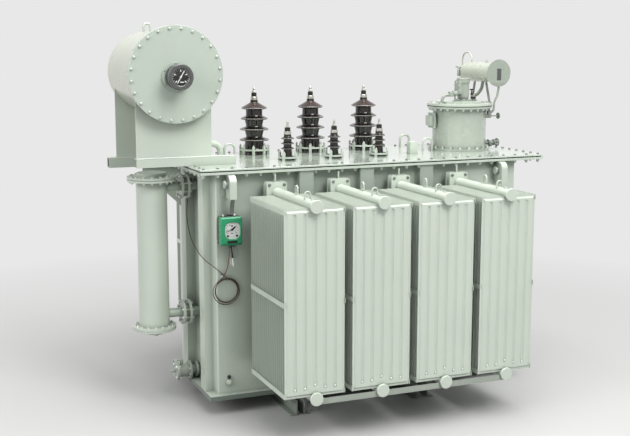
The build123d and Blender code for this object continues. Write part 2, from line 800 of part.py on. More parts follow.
def capillary(points, name):
    radii = corner_radii(points)
    print(name, "radii", [round(r) for r in radii])
    tube = swept_rod(points, radii, capillary_radius)
    path = FilletPolyline(*points, radius=radii)
    section = pi * capillary_radius ** 2
    print(name, "length", round(path.length, 1), "volume / (section x length)",
          round(tube.volume / (section * path.length), 4))
    return tube


def capillary_coil():
    """Outer shape of the spare turns that hang on the wall clip."""
    x, y, z = coil_centre
    ring = Pos(x, y, z) * Rot(90, 0, 0) * (Cylinder(coil_outer, coil_depth)
                                           - Cylinder(coil_inner, coil_depth + 2))
    return ring


parts = {
    "base_plate": base_plate(),
    "skid_pair_left": skid_pair("left"),
    "skid_pair_right": skid_pair("right"),
    "tank_body": tank_body(),
    "tank_ribs": tank_ribs(),
    "tank_rim_flange": tank_rim_flange(),
    "cover_gasket": cover_gasket(),
    "cover_plate": cover_plate(),
    "lifting_lugs": lifting_lugs(),
    "radiator_valves": radiator_valves(),
    "radiator_tie_bars": radiator_tie_bars(),
    "conservator_drum": conservator_drum(),
    "conservator_end_cover": conservator_end_cover(),
    "oil_gauge": oil_gauge(),
    "conservator_support_front": conservator_support_front(),
    "conservator_support_rear": conservator_support_rear(),
    "conservator_pipe": conservator_pipe(),
    "filter_column": filter_column(),
    "filter_pipes": [filter_pipe(upper_pipe_z), filter_pipe(lower_pipe_z)],
    "drain_valve": drain_valve(),
    "hv_insulators": [Pos(x, hv_y, 0) * hv_insulator() for x in hv_xs],
    "hv_clamp_rings": hv_clamp_rings(),
    "lv_insulators": [Pos(x, lv_y, 0) * lv_insulator() for x in lv_xs],
    "lv_clamp_rings": lv_clamp_rings(),
    "bushing_terminals": ([Pos(x, hv_y, 0) * hv_terminal() for x in hv_xs]
                          + [Pos(x, lv_y, 0) * lv_terminal() for x in lv_xs]),
    "tap_changer_head": tap_changer_head(),
    "tap_changer_cover": tap_changer_cover(),
    "tap_changer_gear": [tap_changer_gear(), tap_changer_elbow()],
    "small_conservator": small_conservator(),
    "tap_changer_valves": tap_changer_valves(),
    "lifting_eyes": lifting_eyes(),
    "cover_pocket_box": cover_pocket_box(),
    "thermometer_box": thermometer_box(),
    "thermometer_fittings": thermometer_fittings(),
    "capillary_lower": capillary(capillary_lower_route, "capillary_lower"),
    "capillary_upper": capillary(capillary_upper_route, "capillary_upper"),
    "capillary_coil": capillary_coil(),
}
for side in ("front", "back"):
    for number, solid in enumerate(radiators(side), start=1):
        parts[f"radiator_{side}_{number}"] = solid

os.makedirs("parts", exist_ok=True)
outline_middle = (drum_x - drum_flange_radius + cover_right) / 2
to_origin = Pos(-outline_middle, 0, 0)
for node, solids in parts.items():
    if isinstance(solids, list):
        shape = Compound(children=[to_origin * solid for solid in solids])
    else:
        shape = to_origin * solids
    export_step(shape, f"parts/{node}.step")
print(len(parts), "nodes")
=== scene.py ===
import json
import math
import bpy
import numpy as np
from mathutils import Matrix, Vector


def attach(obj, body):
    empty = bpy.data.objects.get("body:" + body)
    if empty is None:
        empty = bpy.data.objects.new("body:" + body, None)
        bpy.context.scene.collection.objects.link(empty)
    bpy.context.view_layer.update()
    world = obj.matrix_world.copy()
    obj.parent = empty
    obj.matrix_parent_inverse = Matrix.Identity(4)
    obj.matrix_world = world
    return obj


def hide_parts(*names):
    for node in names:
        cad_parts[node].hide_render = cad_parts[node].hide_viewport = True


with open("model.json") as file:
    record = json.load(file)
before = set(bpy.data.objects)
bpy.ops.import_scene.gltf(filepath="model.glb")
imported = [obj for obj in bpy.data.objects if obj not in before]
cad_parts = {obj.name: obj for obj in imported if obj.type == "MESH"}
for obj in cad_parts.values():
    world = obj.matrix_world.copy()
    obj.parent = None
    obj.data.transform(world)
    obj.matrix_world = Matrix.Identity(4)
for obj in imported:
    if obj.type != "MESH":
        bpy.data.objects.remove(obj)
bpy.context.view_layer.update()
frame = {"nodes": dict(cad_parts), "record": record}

nodes = frame["nodes"]
mm = 0.001
shift = 198        # mm, from the tank's own centre line to the middle of the whole outline

# everything below is laid out in mm from the tank's own centre, and makePiece moves it over
unit = {
    "coverTop": 1993,
    "rimBottom": 1950,
    "rim": (-1506, 1604, 605),          # left, right, half width
    "tankEnd": 1366.5,
    "tankWall": 530,
    "tankFoot": 160,
    "radiatorX": (-902, -357, 188, 733),
    "radiatorFace": 1450,
    "headerTop": 1797,
    "headerBottom": 357,
}
up, down = (0, 0, 1), (0, 0, -1)
leftward, rightward = (-1, 0, 0), (1, 0, 0)
forward, backward = (0, -1, 0), (0, 1, 0)


# camera, at the place the unit was photographed from
view = {
    "place": (-3.711, -8.693, 3.005),
    "heading": 22.53,      # degrees turned from +Y towards +X
    "tilt": -9.35,         # degrees, below the horizon
    "lens": 62.87,
    "sensor": 36.0,
    "clipEnd": 200,
}
cameraData = bpy.data.cameras.new("camera")
cameraData.lens = view["lens"]
cameraData.sensor_width = view["sensor"]
cameraData.sensor_fit = "HORIZONTAL"
cameraData.clip_end = view["clipEnd"]
camera = bpy.data.objects.new("camera", cameraData)
camera.location = view["place"]
camera.rotation_euler = (math.radians(90 + view["tilt"]), 0, -math.radians(view["heading"]))
bpy.context.scene.collection.objects.link(camera)
bpy.context.scene.camera = camera
print("stage: camera")


# thermometer capillary: one cord from the gland, round its spare turns, up to the pocket
capillary = {
    "diameter": 6 * mm,
    "lower": [(-1281, -606, 1368), (-1282, -603, 1322), (-1284, -594, 1272), (-1287, -580, 1224),
              (-1294, -566, 1184), (-1307, -556, 1150), (-1323, -550, 1120), (-1347, -547, 1099)],
    "upper": [(-1281, -544, 1115), (-1307, -541, 1137), (-1335, -543, 1165), (-1368, -550, 1196),
              (-1408, -549, 1228), (-1440, -524, 1256), (-1455, -485, 1272), (-1457, -436, 1281),
              (-1457, -373, 1293), (-1454, -297, 1309), (-1451, -215, 1328), (-1446, -139, 1352),
              (-1442, -73, 1382), (-1438, -19, 1419), (-1436, 21, 1464), (-1434, 49, 1521),
              (-1432, 59, 1578), (-1429, 54, 1633), (-1426, 39, 1685), (-1424, 20, 1726)],
    "centre": (-1290, 1015),
    "turns": 2.89,
    "startAngle": 124,         # degrees from +X
    "perTurn": 20,             # control points in a turn
    "atTurn": (0.0, 0.16, 0.41, 0.66, 0.91, 1.16, 1.41, 1.66, 1.91, 2.16, 2.42, 2.66, 2.89),
    "radius": (101.5, 114, 112, 106, 103, 92, 93, 95, 91, 93, 98, 99, 100.4),
    "depth": (-547, -548, -549.5, -550, -551, -550, -547, -543.5, -540, -540, -540.5, -542, -544),
    "widen": 1.008,            # the curve runs a little inside its control points
    "tubeSteps": 3,
    "curveSteps": 6,
}


def coilTurns(cord):
    # radius and depth run smoothly through the stated turns while the angle goes steadily round
    count = int(cord["turns"] * cord["perTurn"]) - 1
    turn = np.linspace(0, cord["turns"], count + 2)[1:-1]
    angle = np.radians(cord["startAngle"] + 360 * turn)
    radius = np.interp(turn, cord["atTurn"], cord["radius"]) * cord["widen"]
    depth = np.interp(turn, cord["atTurn"], cord["depth"])
    x = cord["centre"][0] + radius * np.cos(angle)
    z = cord["centre"][1] + radius * np.sin(angle)
    return np.stack([x, depth, z], axis=1)


def cordCurve(name, points, cord):
    # a round tube of the cord's diameter along one smooth open curve
    line = bpy.data.curves.new(name, "CURVE")
    line.dimensions = "3D"
    line.bevel_depth = 1.0         # metres, times each point's own radius
    line.bevel_resolution = cord["tubeSteps"]
    line.resolution_u = cord["curveSteps"]
    line.use_fill_caps = True
    spline = line.splines.new("NURBS")
    spline.points.add(len(points) - 1)
    spline.points.foreach_set("co", np.c_[points, np.ones(len(points))].ravel())
    spline.points.foreach_set("radius", np.full(len(points), cord["diameter"] / 2))
    spline.order_u = 3
    spline.use_endpoint_u = True
    made = bpy.data.objects.new(name, line)
    bpy.context.scene.collection.objects.link(made)
    return made


route = np.vstack([capillary["lower"], coilTurns(capillary), capillary["upper"]])
route = (route + [shift, 0, 0]) * mm
capillaryCord = cordCurve("thermometer_capillary", route, capillary)
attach(capillaryCord, "root")
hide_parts("capillary_lower", "capillary_upper", "capillary_coil")
print("stage: cord")


# materials
def shaderOf(material):
    # the material's own Principled node
    return material.node_tree.nodes["Principled BSDF"]


def newMaterial(name, colour, roughness, metallic=0.0):
    # one plain colour, roughness and share of metal, and the colour again for the viewport
    material = bpy.data.materials.new(name)
    material.use_nodes = True
    shader = shaderOf(material)
    shader.inputs["Base Color"].default_value = (*colour, 1)
    shader.inputs["Roughness"].default_value = roughness
    shader.inputs["Metallic"].default_value = metallic
    material.diffuse_color = (*colour, 1)
    return material


def node(material, kind, **values):
    # a shader node with its settings, and its sockets' values, where _ stands for a space
    made = material.node_tree.nodes.new("ShaderNode" + kind)
    for key, value in values.items():
        if hasattr(made, key):
            setattr(made, key, value)
        else:
            made.inputs[key.replace("_", " ")].default_value = value
    return made


def wire(material, start, end):
    # joins an output socket to an input socket
    material.node_tree.links.new(start, end)


def objectNoise(material, scale, detail=3.0, stretch=(1, 1, 1)):
    # noise over the object's own coordinates, each axis times its stretch first
    place = node(material, "TexCoord")
    mapping = node(material, "Mapping")
    mapping.inputs["Scale"].default_value = stretch
    noise = node(material, "TexNoise", Scale=scale, Detail=detail, Roughness=0.6)
    wire(material, place.outputs["Object"], mapping.inputs["Vector"])
    wire(material, mapping.outputs["Vector"], noise.inputs["Vector"])
    return noise.outputs["Fac"]


def objectAxes(material):
    # sockets for the object's own X, Y and Z, in metres
    place = node(material, "TexCoord")
    axes = node(material, "SeparateXYZ")
    wire(material, place.outputs["Object"], axes.inputs["Vector"])
    return axes.outputs


def ranged(material, value, fromLow, fromHigh, toLow, toHigh):
    # a value carried in proportion from one range to another, and held at both ends
    change = node(material, "MapRange")
    limits = (("From Min", fromLow), ("From Max", fromHigh), ("To Min", toLow), ("To Max", toHigh))
    for key, number in limits:
        change.inputs[key].default_value = number
    wire(material, value, change.inputs["Value"])
    return change.outputs["Result"]


def patches(material, noise, toLow=0.0, toHigh=1.0, stretch=(1, 1, 1)):
    # noise holds its scale and detail, and the range of it that is spread from toLow to toHigh
    scale, detail, low, high = noise
    return ranged(material, objectNoise(material, scale, detail, stretch), low, high, toLow, toHigh)


def reckoned(material, operation, *values):
    # a maths node, each of its values a number or a socket
    made = node(material, "Math", operation=operation)
    for socket, value in zip(made.inputs, values):
        if isinstance(value, (int, float)):
            socket.default_value = value
        else:
            wire(material, value, socket)
    return made.outputs[0]


def combined(material, operation, values):
    # the first value with each of the others in turn
    total = values[0]
    for value in values[1:]:
        total = reckoned(material, operation, total, value)
    return total


def mixed(material, factor, first, second):
    # first and second are colours or sockets, factor is a socket
    mix = node(material, "Mix", data_type="RGBA")
    sockets = [s for s in mix.inputs if s.type == "RGBA"]
    for socket, value in zip(sockets, (first, second)):
        if isinstance(value, tuple):
            socket.default_value = (*value, 1)
        else:
            wire(material, value, socket)
    wire(material, factor, mix.inputs["Factor"])
    return [s for s in mix.outputs if s.type == "RGBA"][0]


def scaled(colour, factor):
    # each channel of the colour times the factor
    return tuple(factor * c for c in colour)


def recolour(material, factor, colour):
    # mixes a colour over what the shader's base colour already holds
    base = shaderOf(material).inputs["Base Color"]
    wire(material, mixed(material, factor, base.links[0].from_socket, colour), base)


def roundedNormal(material, rounding, grain, film):
    # edges look rounded by `rounding` metres, with a fine ripple of the film on top
    rounded = node(material, "Bevel", samples=4, Radius=rounding)
    ripple = node(material, "Bump", Strength=film, Distance=0.002)
    wire(material, objectNoise(material, grain, detail=2), ripple.inputs["Height"])
    wire(material, rounded.outputs["Normal"], ripple.inputs["Normal"])
    wire(material, ripple.outputs["Normal"], shaderOf(material).inputs["Normal"])


# plain paint; each noise is its scale, its detail and the range that is used
paint = {
    "base": (0.575, 0.640, 0.555),
    "tint": 1.0,
    "warm": (0.620, 0.640, 0.530),       # of the streaks
    "shade": (0.085, 0.125, 0.100),      # of the corners
    "roughness": 0.34,
    "coat": 0.45,
    "coatRoughness": 0.14,
    "occlude": 0.62,                     # strength of the painted shade in the corners
    "reach": 0.12,                       # metres a corner's painted shade spreads
    "corners": (0.15, 0.85),             # openness with full painted shade and with none
    "rounding": 0.003,
    "film": 0.03,
    "grain": 260,
    "streak": 0.22,
    "streaks": (8, 3, 0.48, 0.82),
    "streakStretch": (1, 1, 0.07),
    "clouds": (1.7, 4, 0.35, 0.7),
    "cloudTones": (0.985, 1.025),
    "gloss": (6, 2, 0.3, 0.7),
    "glossSpread": (0.05, 0.08),
}


def paintMaterial(name, **changes):
    # large soft clouds, faint upright streaks, painted shade in the corners and a thin gloss coat
    p = {**paint, **changes}
    colour = scaled(p["base"], p["tint"])
    material = newMaterial(name, colour, p["roughness"])
    shader = shaderOf(material)
    dark, light = (scaled(colour, tone) for tone in p["cloudTones"])
    tone = mixed(material, patches(material, p["clouds"]), dark, light)
    streaks = patches(material, p["streaks"], 0.0, p["streak"], p["streakStretch"])
    tone = mixed(material, streaks, tone, p["warm"])
    # painted shade: the colour turns to the shade colour where ambient occlusion finds nearby
    # surfaces
    occlusion = node(material, "AmbientOcclusion", samples=6, Distance=p["reach"])
    paintedShade = ranged(material, occlusion.outputs["AO"], *p["corners"], p["occlude"], 0.0)
    tone = mixed(material, paintedShade, tone, p["shade"])
    wire(material, tone, shader.inputs["Base Color"])
    smoother, rougher = p["glossSpread"]
    gloss = patches(material, p["gloss"], p["roughness"] - smoother, p["roughness"] + rougher)
    wire(material, gloss, shader.inputs["Roughness"])
    shader.inputs["Coat Weight"].default_value = p["coat"]
    shader.inputs["Coat Roughness"].default_value = p["coatRoughness"]
    roundedNormal(material, p["rounding"], p["grain"], p["film"])
    return material


# shade inside a bundle of panels, in metres; each limit is where it starts to fade and has gone
bundle = {
    "pitch": 0.545,
    "side": (0.226, 0.2375),
    "face": (1.434, 1.436),
    "top": (1.772, 1.781),
    "bottom": (0.384, 0.374),
    "strength": 0.26,
    "colour": (0.110, 0.150, 0.120),
}


def gapShade(material):
    # darker away from both side edges of the panels, the outer face, the top and the bottom
    axes = objectAxes(material)
    first = (unit["radiatorX"][0] + shift) * mm
    half = bundle["pitch"] / 2
    wrapped = reckoned(material, "WRAP", axes["X"], first + half, first - half)
    across = reckoned(material, "ABSOLUTE", reckoned(material, "SUBTRACT", wrapped, first))
    depth = reckoned(material, "ABSOLUTE", axes["Y"])
    places = ((across, "side"), (depth, "face"), (axes["Z"], "top"), (axes["Z"], "bottom"))
    edges = [ranged(material, value, *bundle[limit], 1.0, 0.0) for value, limit in places]
    inside = combined(material, "MULTIPLY", edges)
    amount = ranged(material, inside, 0.0, 1.0, 0.0, bundle["strength"])
    recolour(material, amount, bundle["colour"])


# dark brown porcelain glaze, thinner and redder in patches
glazeLook = {
    "colour": (0.010, 0.007, 0.006),
    "thick": (0.007, 0.006, 0.006),
    "thin": (0.019, 0.011, 0.008),
    "patches": (26, 3, 0.35, 0.75),
    "roughness": 0.06,
    "coat": 0.3,
    "coatRoughness": 0.03,
    "rounding": 0.004,
    "grain": 120,
    "film": 0.02,
}


def glazeMaterial():
    # a dark tone that turns redder where the noise is high, under a clear coat
    g = glazeLook
    material = newMaterial("brownGlaze", g["colour"], g["roughness"])
    shader = shaderOf(material)
    tone = mixed(material, patches(material, g["patches"]), g["thick"], g["thin"])
    wire(material, tone, shader.inputs["Base Color"])
    shader.inputs["Coat Weight"].default_value = g["coat"]
    shader.inputs["Coat Roughness"].default_value = g["coatRoughness"]
    roundedNormal(material, g["rounding"], g["grain"], g["film"])
    return material


metal = {
    "metallic": 1.0,
    "dark": 0.75,                        # darkest patch, as a share of the colour
    "patches": (60, 4, 0.3, 0.7),
    "gloss": (120, 3, 0.3, 0.7),
    "glossSpread": (0.08, 0.12),
    "rounding": 0.0015,
    "grain": 400,
    "film": 0.04,
}
enamel = {
    "metallic": 0.0,
    "dark": 0.88,
    "patches": (25, 3, 0.3, 0.7),
    "gloss": (40, 2, 0.3, 0.7),
    "glossSpread": (0.05, 0.07),
    "rounding": 0.002,
    "grain": 300,
    "film": 0.02,
}


def patchyMaterial(name, look, colour, roughness, coat=0.0):
    # small patches of colour and gloss, on edges that look rounded
    material = newMaterial(name, colour, roughness, look["metallic"])
    shader = shaderOf(material)
    tone = mixed(material, patches(material, look["patches"]), scaled(colour, look["dark"]), colour)
    wire(material, tone, shader.inputs["Base Color"])
    smoother, rougher = look["glossSpread"]
    low, high = max(0.03, roughness - smoother), roughness + rougher
    wire(material, patches(material, look["gloss"], low, high), shader.inputs["Roughness"])
    shader.inputs["Coat Weight"].default_value = coat
    roundedNormal(material, look["rounding"], look["grain"], look["film"])
    return material


terminal = {"colour": (0.70, 0.68, 0.62), "roughness": 0.25, "black": (0.012, 0.012, 0.012),
            "nuts": ((2.231, 2.263), (2.4935, 2.527))}        # metres, from and to


def terminalMaterial():
    # tinned studs with a black nut between them, told apart by height
    material = patchyMaterial("tinnedTerminal", metal, terminal["colour"], terminal["roughness"])
    height = objectAxes(material)["Z"]
    bands = []
    for low, high in terminal["nuts"]:
        above = reckoned(material, "GREATER_THAN", height, low)
        below = reckoned(material, "LESS_THAN", height, high)
        bands.append(reckoned(material, "MULTIPLY", above, below))
    black = combined(material, "ADD", bands)
    recolour(material, black, terminal["black"])
    wire(material, ranged(material, black, 0, 1, 1.0, 0.0), shaderOf(material).inputs["Metallic"])
    return material


def withRegion(material, limits, colour):
    # another colour where every (axis, low, high) limit holds in object metres, over a 2 mm change
    axes = objectAxes(material)
    edges = []
    for axis, low, high in limits:
        edges.append(ranged(material, axes[axis], low - mm, low + mm, 0.0, 1.0))
        edges.append(ranged(material, axes[axis], high - mm, high + mm, 1.0, 0.0))
    recolour(material, combined(material, "MULTIPLY", edges), colour)


bodyPaint = paintMaterial("bodyPaint")
ribPaint = paintMaterial("ribPaint")
# tank wall: painted shade reaching far, darker under the rim and behind the radiators
tankPaint = paintMaterial("tankPaint", tint=1.09, occlude=0.70, reach=0.35)
drainPaint = paintMaterial("drainPaint", tint=0.72, roughness=0.30, coat=0.6, occlude=0.85,
                           rounding=0.002)
coverPaint = paintMaterial("coverPaint", roughness=0.18, coat=0.9, occlude=0.55, rounding=0.0015,
                           film=0.0, reach=0.05, streak=0.0)
panelPaint = paintMaterial("panelPaint", tint=1.06, roughness=0.36, coat=0.4, occlude=0.62,
                           rounding=0.001, film=0.02, reach=0.035)
gapShade(panelPaint)
upperPaint = paintMaterial("upperPaint", tint=0.745, roughness=0.26, coat=0.8, occlude=0.7,
                           rounding=0.002)
gearPaint = paintMaterial("gearPaint", tint=0.60, roughness=0.32, coat=0.5, occlude=0.75,
                          rounding=0.002)
valvePaint = paintMaterial("valvePaint", tint=0.42, coat=0.4, occlude=0.8, rounding=0.001)
# a darker copy of the paint: painted shade on the radiator tie bars and the skids
shadedLowPaint = paintMaterial("shadedLowPaint", tint=0.60, roughness=0.38, coat=0.3, occlude=0.7,
                         rounding=0.002)
basePaint = paintMaterial("basePaint", roughness=0.36, coat=0.4, occlude=0.6, rounding=0.002)
drumPaint = paintMaterial("drumPaint", base=(0.545, 0.575, 0.470), roughness=0.30, coat=0.6,
                          occlude=0.6, film=0.02, reach=0.10, streak=0.06)
coolPaint = paintMaterial("coolPaint", base=(0.495, 0.568, 0.490), roughness=0.32, coat=0.6,
                          occlude=0.6, film=0.02, reach=0.10)
smallDrumPaint = paintMaterial("smallDrumPaint", base=(0.545, 0.585, 0.482), roughness=0.28,
                               coat=0.7, occlude=0.7, rounding=0.002, film=0.02, reach=0.10,
                               streak=0.04)
glaze = glazeMaterial()
tinned = terminalMaterial()
zinc = patchyMaterial("zincBolts", metal, (0.74, 0.76, 0.72), 0.32)
dullBolt = patchyMaterial("dullBolts", metal, (0.30, 0.32, 0.30), 0.42)
darkMetal = patchyMaterial("darkMetal", metal, (0.17, 0.18, 0.17), 0.45)
copperTube = patchyMaterial("capillaryMetal", metal, (0.115, 0.062, 0.047), 0.45)
rubber = patchyMaterial("gasketRubber", enamel, (0.018, 0.018, 0.018), 0.8)
blackEnamel = patchyMaterial("blackEnamel", enamel, (0.022, 0.023, 0.022), 0.28, coat=0.2)
greenEnamel = patchyMaterial("greenEnamel", enamel, (0.030, 0.350, 0.155), 0.30, coat=0.5)
whiteDial = patchyMaterial("whiteDial", enamel, (0.78, 0.80, 0.78), 0.35, coat=0.2)
whiteMarks = patchyMaterial("whiteMarks", enamel, (0.80, 0.82, 0.80), 0.5)
blackMarksAndShade = patchyMaterial("blackMarksAndShade", enamel, (0.012, 0.012, 0.012), 0.5)
caseEnamel = patchyMaterial("caseEnamel", enamel, (0.022, 0.023, 0.022), 0.28, coat=0.2)
gaugeEnamel = patchyMaterial("gaugeEnamel", enamel, (0.085, 0.090, 0.085), 0.22, coat=0.6)
nutAndHighlightPaint = patchyMaterial("nutAndHighlightPaint", enamel, (0.860, 0.900, 0.840), 0.25, coat=0.6)
hangerMetal = patchyMaterial("hangerMetal", enamel, (0.150, 0.170, 0.150), 0.4, coat=0.2)
# pale rim colour: partly thinner glaze, partly painted highlight
rimGlazeAndHighlight = patchyMaterial("rimGlazeAndHighlight", enamel, (0.300, 0.290, 0.270), 0.12, coat=0.6)

# parts of a node in another colour, some of them painted shade: the material, its limits in metres
# and the colour
regions = {
    # painted shade: the base plate's sides darker than its top
    "edges of the base plate": (basePaint, [("Z", -0.10, 0.1575)], (0.190, 0.235, 0.200)),
    # painted shade: the ribs on the front and back walls darker
    "front ribs": (ribPaint, [("Y", -0.70, -0.532)], (0.370, 0.425, 0.365)),
    "back ribs": (ribPaint, [("Y", 0.532, 0.70)], (0.370, 0.425, 0.365)),
    "top sheds": (glaze, [("Z", 2.398, 2.445)], (0.034, 0.015, 0.010)),
    "front of the case": (caseEnamel, [("Y", -0.70, -0.604)], (0.026, 0.300, 0.132)),
    # painted shade: the small drum's front disc darker
    "small drum's disc": (smallDrumPaint, [("Y", -0.156, -0.1505)], (0.345, 0.395, 0.335)),
    "small drum's legs": (smallDrumPaint, [("Z", 2.30, 2.596)], (0.300, 0.335, 0.280)),
    "red lead": (copperTube, [("Z", 1.125, 1.37), ("X", -1.12, -0.98)], (0.240, 0.085, 0.062)),
}
for material, limits, colour in regions.values():
    withRegion(material, limits, colour)

slotMaterials = {
    "paint": bodyPaint, "brown_glaze": glaze, "terminal_metal": tinned, "gasket": rubber,
    "instrument_black": gaugeEnamel, "valve_dark": darkMetal, "thermometer_green": caseEnamel,
    "capillary_metal": copperTube,
}
nodeMaterials = {
    "tank_body": tankPaint, "tank_ribs": ribPaint, "drain_valve": drainPaint,
    "cover_plate": coverPaint, "tap_changer_head": upperPaint, "tap_changer_gear": gearPaint,
    "small_conservator": smallDrumPaint, "tap_changer_valves": valvePaint,
    "radiator_tie_bars": shadedLowPaint, "skid_pair_left": shadedLowPaint, "skid_pair_right": shadedLowPaint,
    "base_plate": basePaint, "conservator_drum": drumPaint, "conservator_end_cover": coolPaint,
    "thermometer_fittings": hangerMetal,
}
for side in ("front", "back"):
    for number in range(1, len(unit["radiatorX"]) + 1):
        nodeMaterials[f"radiator_{side}_{number}"] = panelPaint
slotOf = {row["node"]: row["material_slot"] for row in frame["record"]["subparts"]}
for name, part in nodes.items():
    part.data.materials.clear()
    part.data.materials.append(nodeMaterials.get(name, slotMaterials[slotOf[name]]))
capillaryCord.data.materials.append(copperTube)
print("stage: materials")


# shapes: each is an array of points in mm and a list of polygon arrays
def gridFaces(rows, columns):
    # one quad between each two rows and columns, the last column joined to the first
    above = np.arange(rows - 1)[:, None] * columns
    across = np.arange(columns)[None, :]
    beside = (across + 1) % columns
    below = above + columns
    quads = np.stack([above + across, above + beside, below + beside, below + across], axis=-1)
    return quads.reshape(-1, 4)


def capped(rings):
    # rings of points joined in order, closed by a flat polygon at each end
    rows, columns = rings.shape[:2]
    last = (rows - 1) * columns
    ends = [np.arange(columns)[::-1][None], last + np.arange(columns)[None]]
    return rings.reshape(-1, 3), [gridFaces(rows, columns)] + ends


def looped(rings):
    # rings of points joined in order, the last back to the first
    rows, columns = rings.shape[:2]
    return rings.reshape(-1, 3), [gridFaces(rows + 1, columns) % (rows * columns)]


def turned(profile, steps):
    # each (radius, height) pair swept round Z
    radius, height = np.array(profile, float).T
    angle = 2 * np.pi * np.arange(steps) / steps
    rings = np.stack([radius[:, None] * np.cos(angle), radius[:, None] * np.sin(angle),
                      np.repeat(height[:, None], steps, axis=1)], axis=-1)
    return capped(rings)


def hooped(profile, steps):
    # a closed loop of (radius, height) pairs swept round Z
    points, _ = turned(profile, steps)
    return looped(points.reshape(len(profile), steps, 3))


def carried(path, radius, steps, across=backward):
    # a circle carried along a path, square to its run; across is a way that no run follows
    path = np.asarray(path, float)
    run = np.gradient(path, axis=0)
    run /= np.linalg.norm(run, axis=1, keepdims=True)
    side = np.cross(run, across)
    side /= np.linalg.norm(side, axis=1, keepdims=True)
    lift = np.cross(run, side)
    radius = np.broadcast_to(np.asarray(radius, float), len(path))[:, None, None]
    angle = 2 * np.pi * np.arange(steps) / steps
    cosine, sine = np.cos(angle)[None, :, None], np.sin(angle)[None, :, None]
    return capped(path[:, None] + radius * (cosine * side[:, None] + sine * lift[:, None]))


def outline(width, height, corner, level, steps=4):
    # four quarter circles joined by straight sides, all at one level
    quarters = [np.linspace(k * 90, k * 90 + 90, steps + 1) for k in range(4)]
    angle = np.radians(np.concatenate(quarters))
    signs = np.repeat([(1, 1), (-1, 1), (-1, -1), (1, -1)], steps + 1, axis=0)
    flat = signs * [width / 2 - corner, height / 2 - corner]
    flat = flat + corner * np.stack([np.cos(angle), np.sin(angle)], axis=1)
    return np.c_[flat, np.full(len(flat), level)]


def roundedSlab(width, height, thickness, corner, edge, steps=4):
    # the same outline at four levels, drawn in by a small bevel at both faces
    rings = []
    for inset, level in ((edge, 0), (0, edge), (0, thickness - edge), (edge, thickness)):
        rings.append(outline(width - 2 * inset, height - 2 * inset, corner - inset, level, steps))
    return capped(np.array(rings))


def joined(*shapes):
    # several shapes as one, each one's polygons counted on from the points before it
    points, polygons, start = [], [], 0
    for verts, faces in shapes:
        points.append(verts)
        polygons += [block + start for block in faces]
        start += len(verts)
    return np.vstack(points), polygons


def copies(shape, spots, axis=up, spin=0.0):
    # one copy at each spot, its own +Z turned to the axis and then spun about it by degrees
    points, polygons = shape
    spots = np.atleast_2d(np.asarray(spots, float))
    ahead = np.array(np.broadcast_to(np.asarray(axis, float), spots.shape))
    ahead /= np.linalg.norm(ahead, axis=1, keepdims=True)
    steep = np.abs(ahead[:, 2:]) > 0.9
    guide = np.where(steep, [[0.0, 1.0, 0.0]], [[0.0, 0.0, 1.0]])
    across = np.cross(guide, ahead)
    across /= np.linalg.norm(across, axis=1, keepdims=True)
    along = np.cross(ahead, across)
    turn = np.radians(np.broadcast_to(np.asarray(spin, float), len(spots)))[:, None]
    first = np.cos(turn) * across + np.sin(turn) * along
    second = np.cos(turn) * along - np.sin(turn) * across
    basis = np.stack([first, second, ahead], axis=1)
    moved = np.einsum("nj,kji->kni", points, basis) + spots[:, None]
    start = np.arange(len(spots))[:, None, None] * len(points)
    faces = [(block[None] + start).reshape(-1, block.shape[1]) for block in polygons]
    return moved.reshape(-1, 3), faces


def makePiece(name, shape, material, sharp=35):
    # one mesh in its own place, smooth apart from edges sharper than that many degrees
    points, polygons = shape
    mesh = bpy.data.meshes.new(name)
    faces = [face for block in polygons for face in block.tolist()]
    mesh.from_pydata(((points + [shift, 0, 0]) * mm).tolist(), [], faces)
    mesh.shade_smooth()
    mesh.set_sharp_from_angle(angle=math.radians(sharp))
    mesh.materials.append(material)
    made = bpy.data.objects.new(name, mesh)
    bpy.context.scene.collection.objects.link(made)
    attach(made, "root")
    return made


def built(parts):
    # joins bent rods along their paths, and slabs (width, height, thickness, corner and edge),
    # turned profiles and swept loops at their spots
    shapes = []
    for part in parts.values():
        if "path" in part:
            across = part.get("across", backward)
            shapes.append(carried(part["path"], part["radius"], part["steps"], across))
            continue
        if "slab" in part:
            shape = roundedSlab(*part["slab"], part.get("steps", 4))
        elif "loop" in part:
            shape = hooped(part["loop"], part["steps"])
        else:
            shape = turned(part["profile"], part["steps"])
        shapes.append(copies(shape, part["spots"], part.get("facing", up), part.get("spin", 0.0)))
    return joined(*shapes)


# fasteners at a size of 1: hexagon heads on round washers, nuts on stud ends, rods and domes
fastener = {
    "washer": 17, "washerHeight": 3, "head": 15, "headHeight": 11, "stud": 9, "studReach": 24,
    "bevel": 2,
}
taper = {"head": 0.84, "stud": 0.75}
studOverlap = 1            # mm of the stud inside its nut
rodProfile = [(8, 0), (8, 34)]
domeProfile = [(13, 0), (13, 3), (11, 4), (10, 8), (7, 12), (3, 13)]


def hexHead(size):
    # a round washer under a six-sided head, drawn in at its top
    f = {key: size * value for key, value in fastener.items()}
    top = f["washerHeight"] + f["headHeight"]
    washer = turned([(f["washer"], 0), (f["washer"], f["washerHeight"])], 12)
    head = turned([(f["head"], f["washerHeight"]), (f["head"], top - f["bevel"]),
                   (taper["head"] * f["head"], top)], 6)
    return joined(washer, head)


def nutAndStud(size):
    # the same head with a round stud standing out of it
    f = {key: size * value for key, value in fastener.items()}
    top = f["washerHeight"] + f["headHeight"]
    stud = turned([(f["stud"], top - studOverlap), (f["stud"], f["studReach"] - f["bevel"]),
                   (taper["stud"] * f["stud"], f["studReach"])], 8)
    return joined(hexHead(size), stud)


def tieRod(size):
    # the rod's profile times the size, swept round
    return turned(size * np.array(rodProfile), 8)


def domedHead(size):
    # the dome's profile times the size, swept round
    return turned(size * np.array(domeProfile), 12)


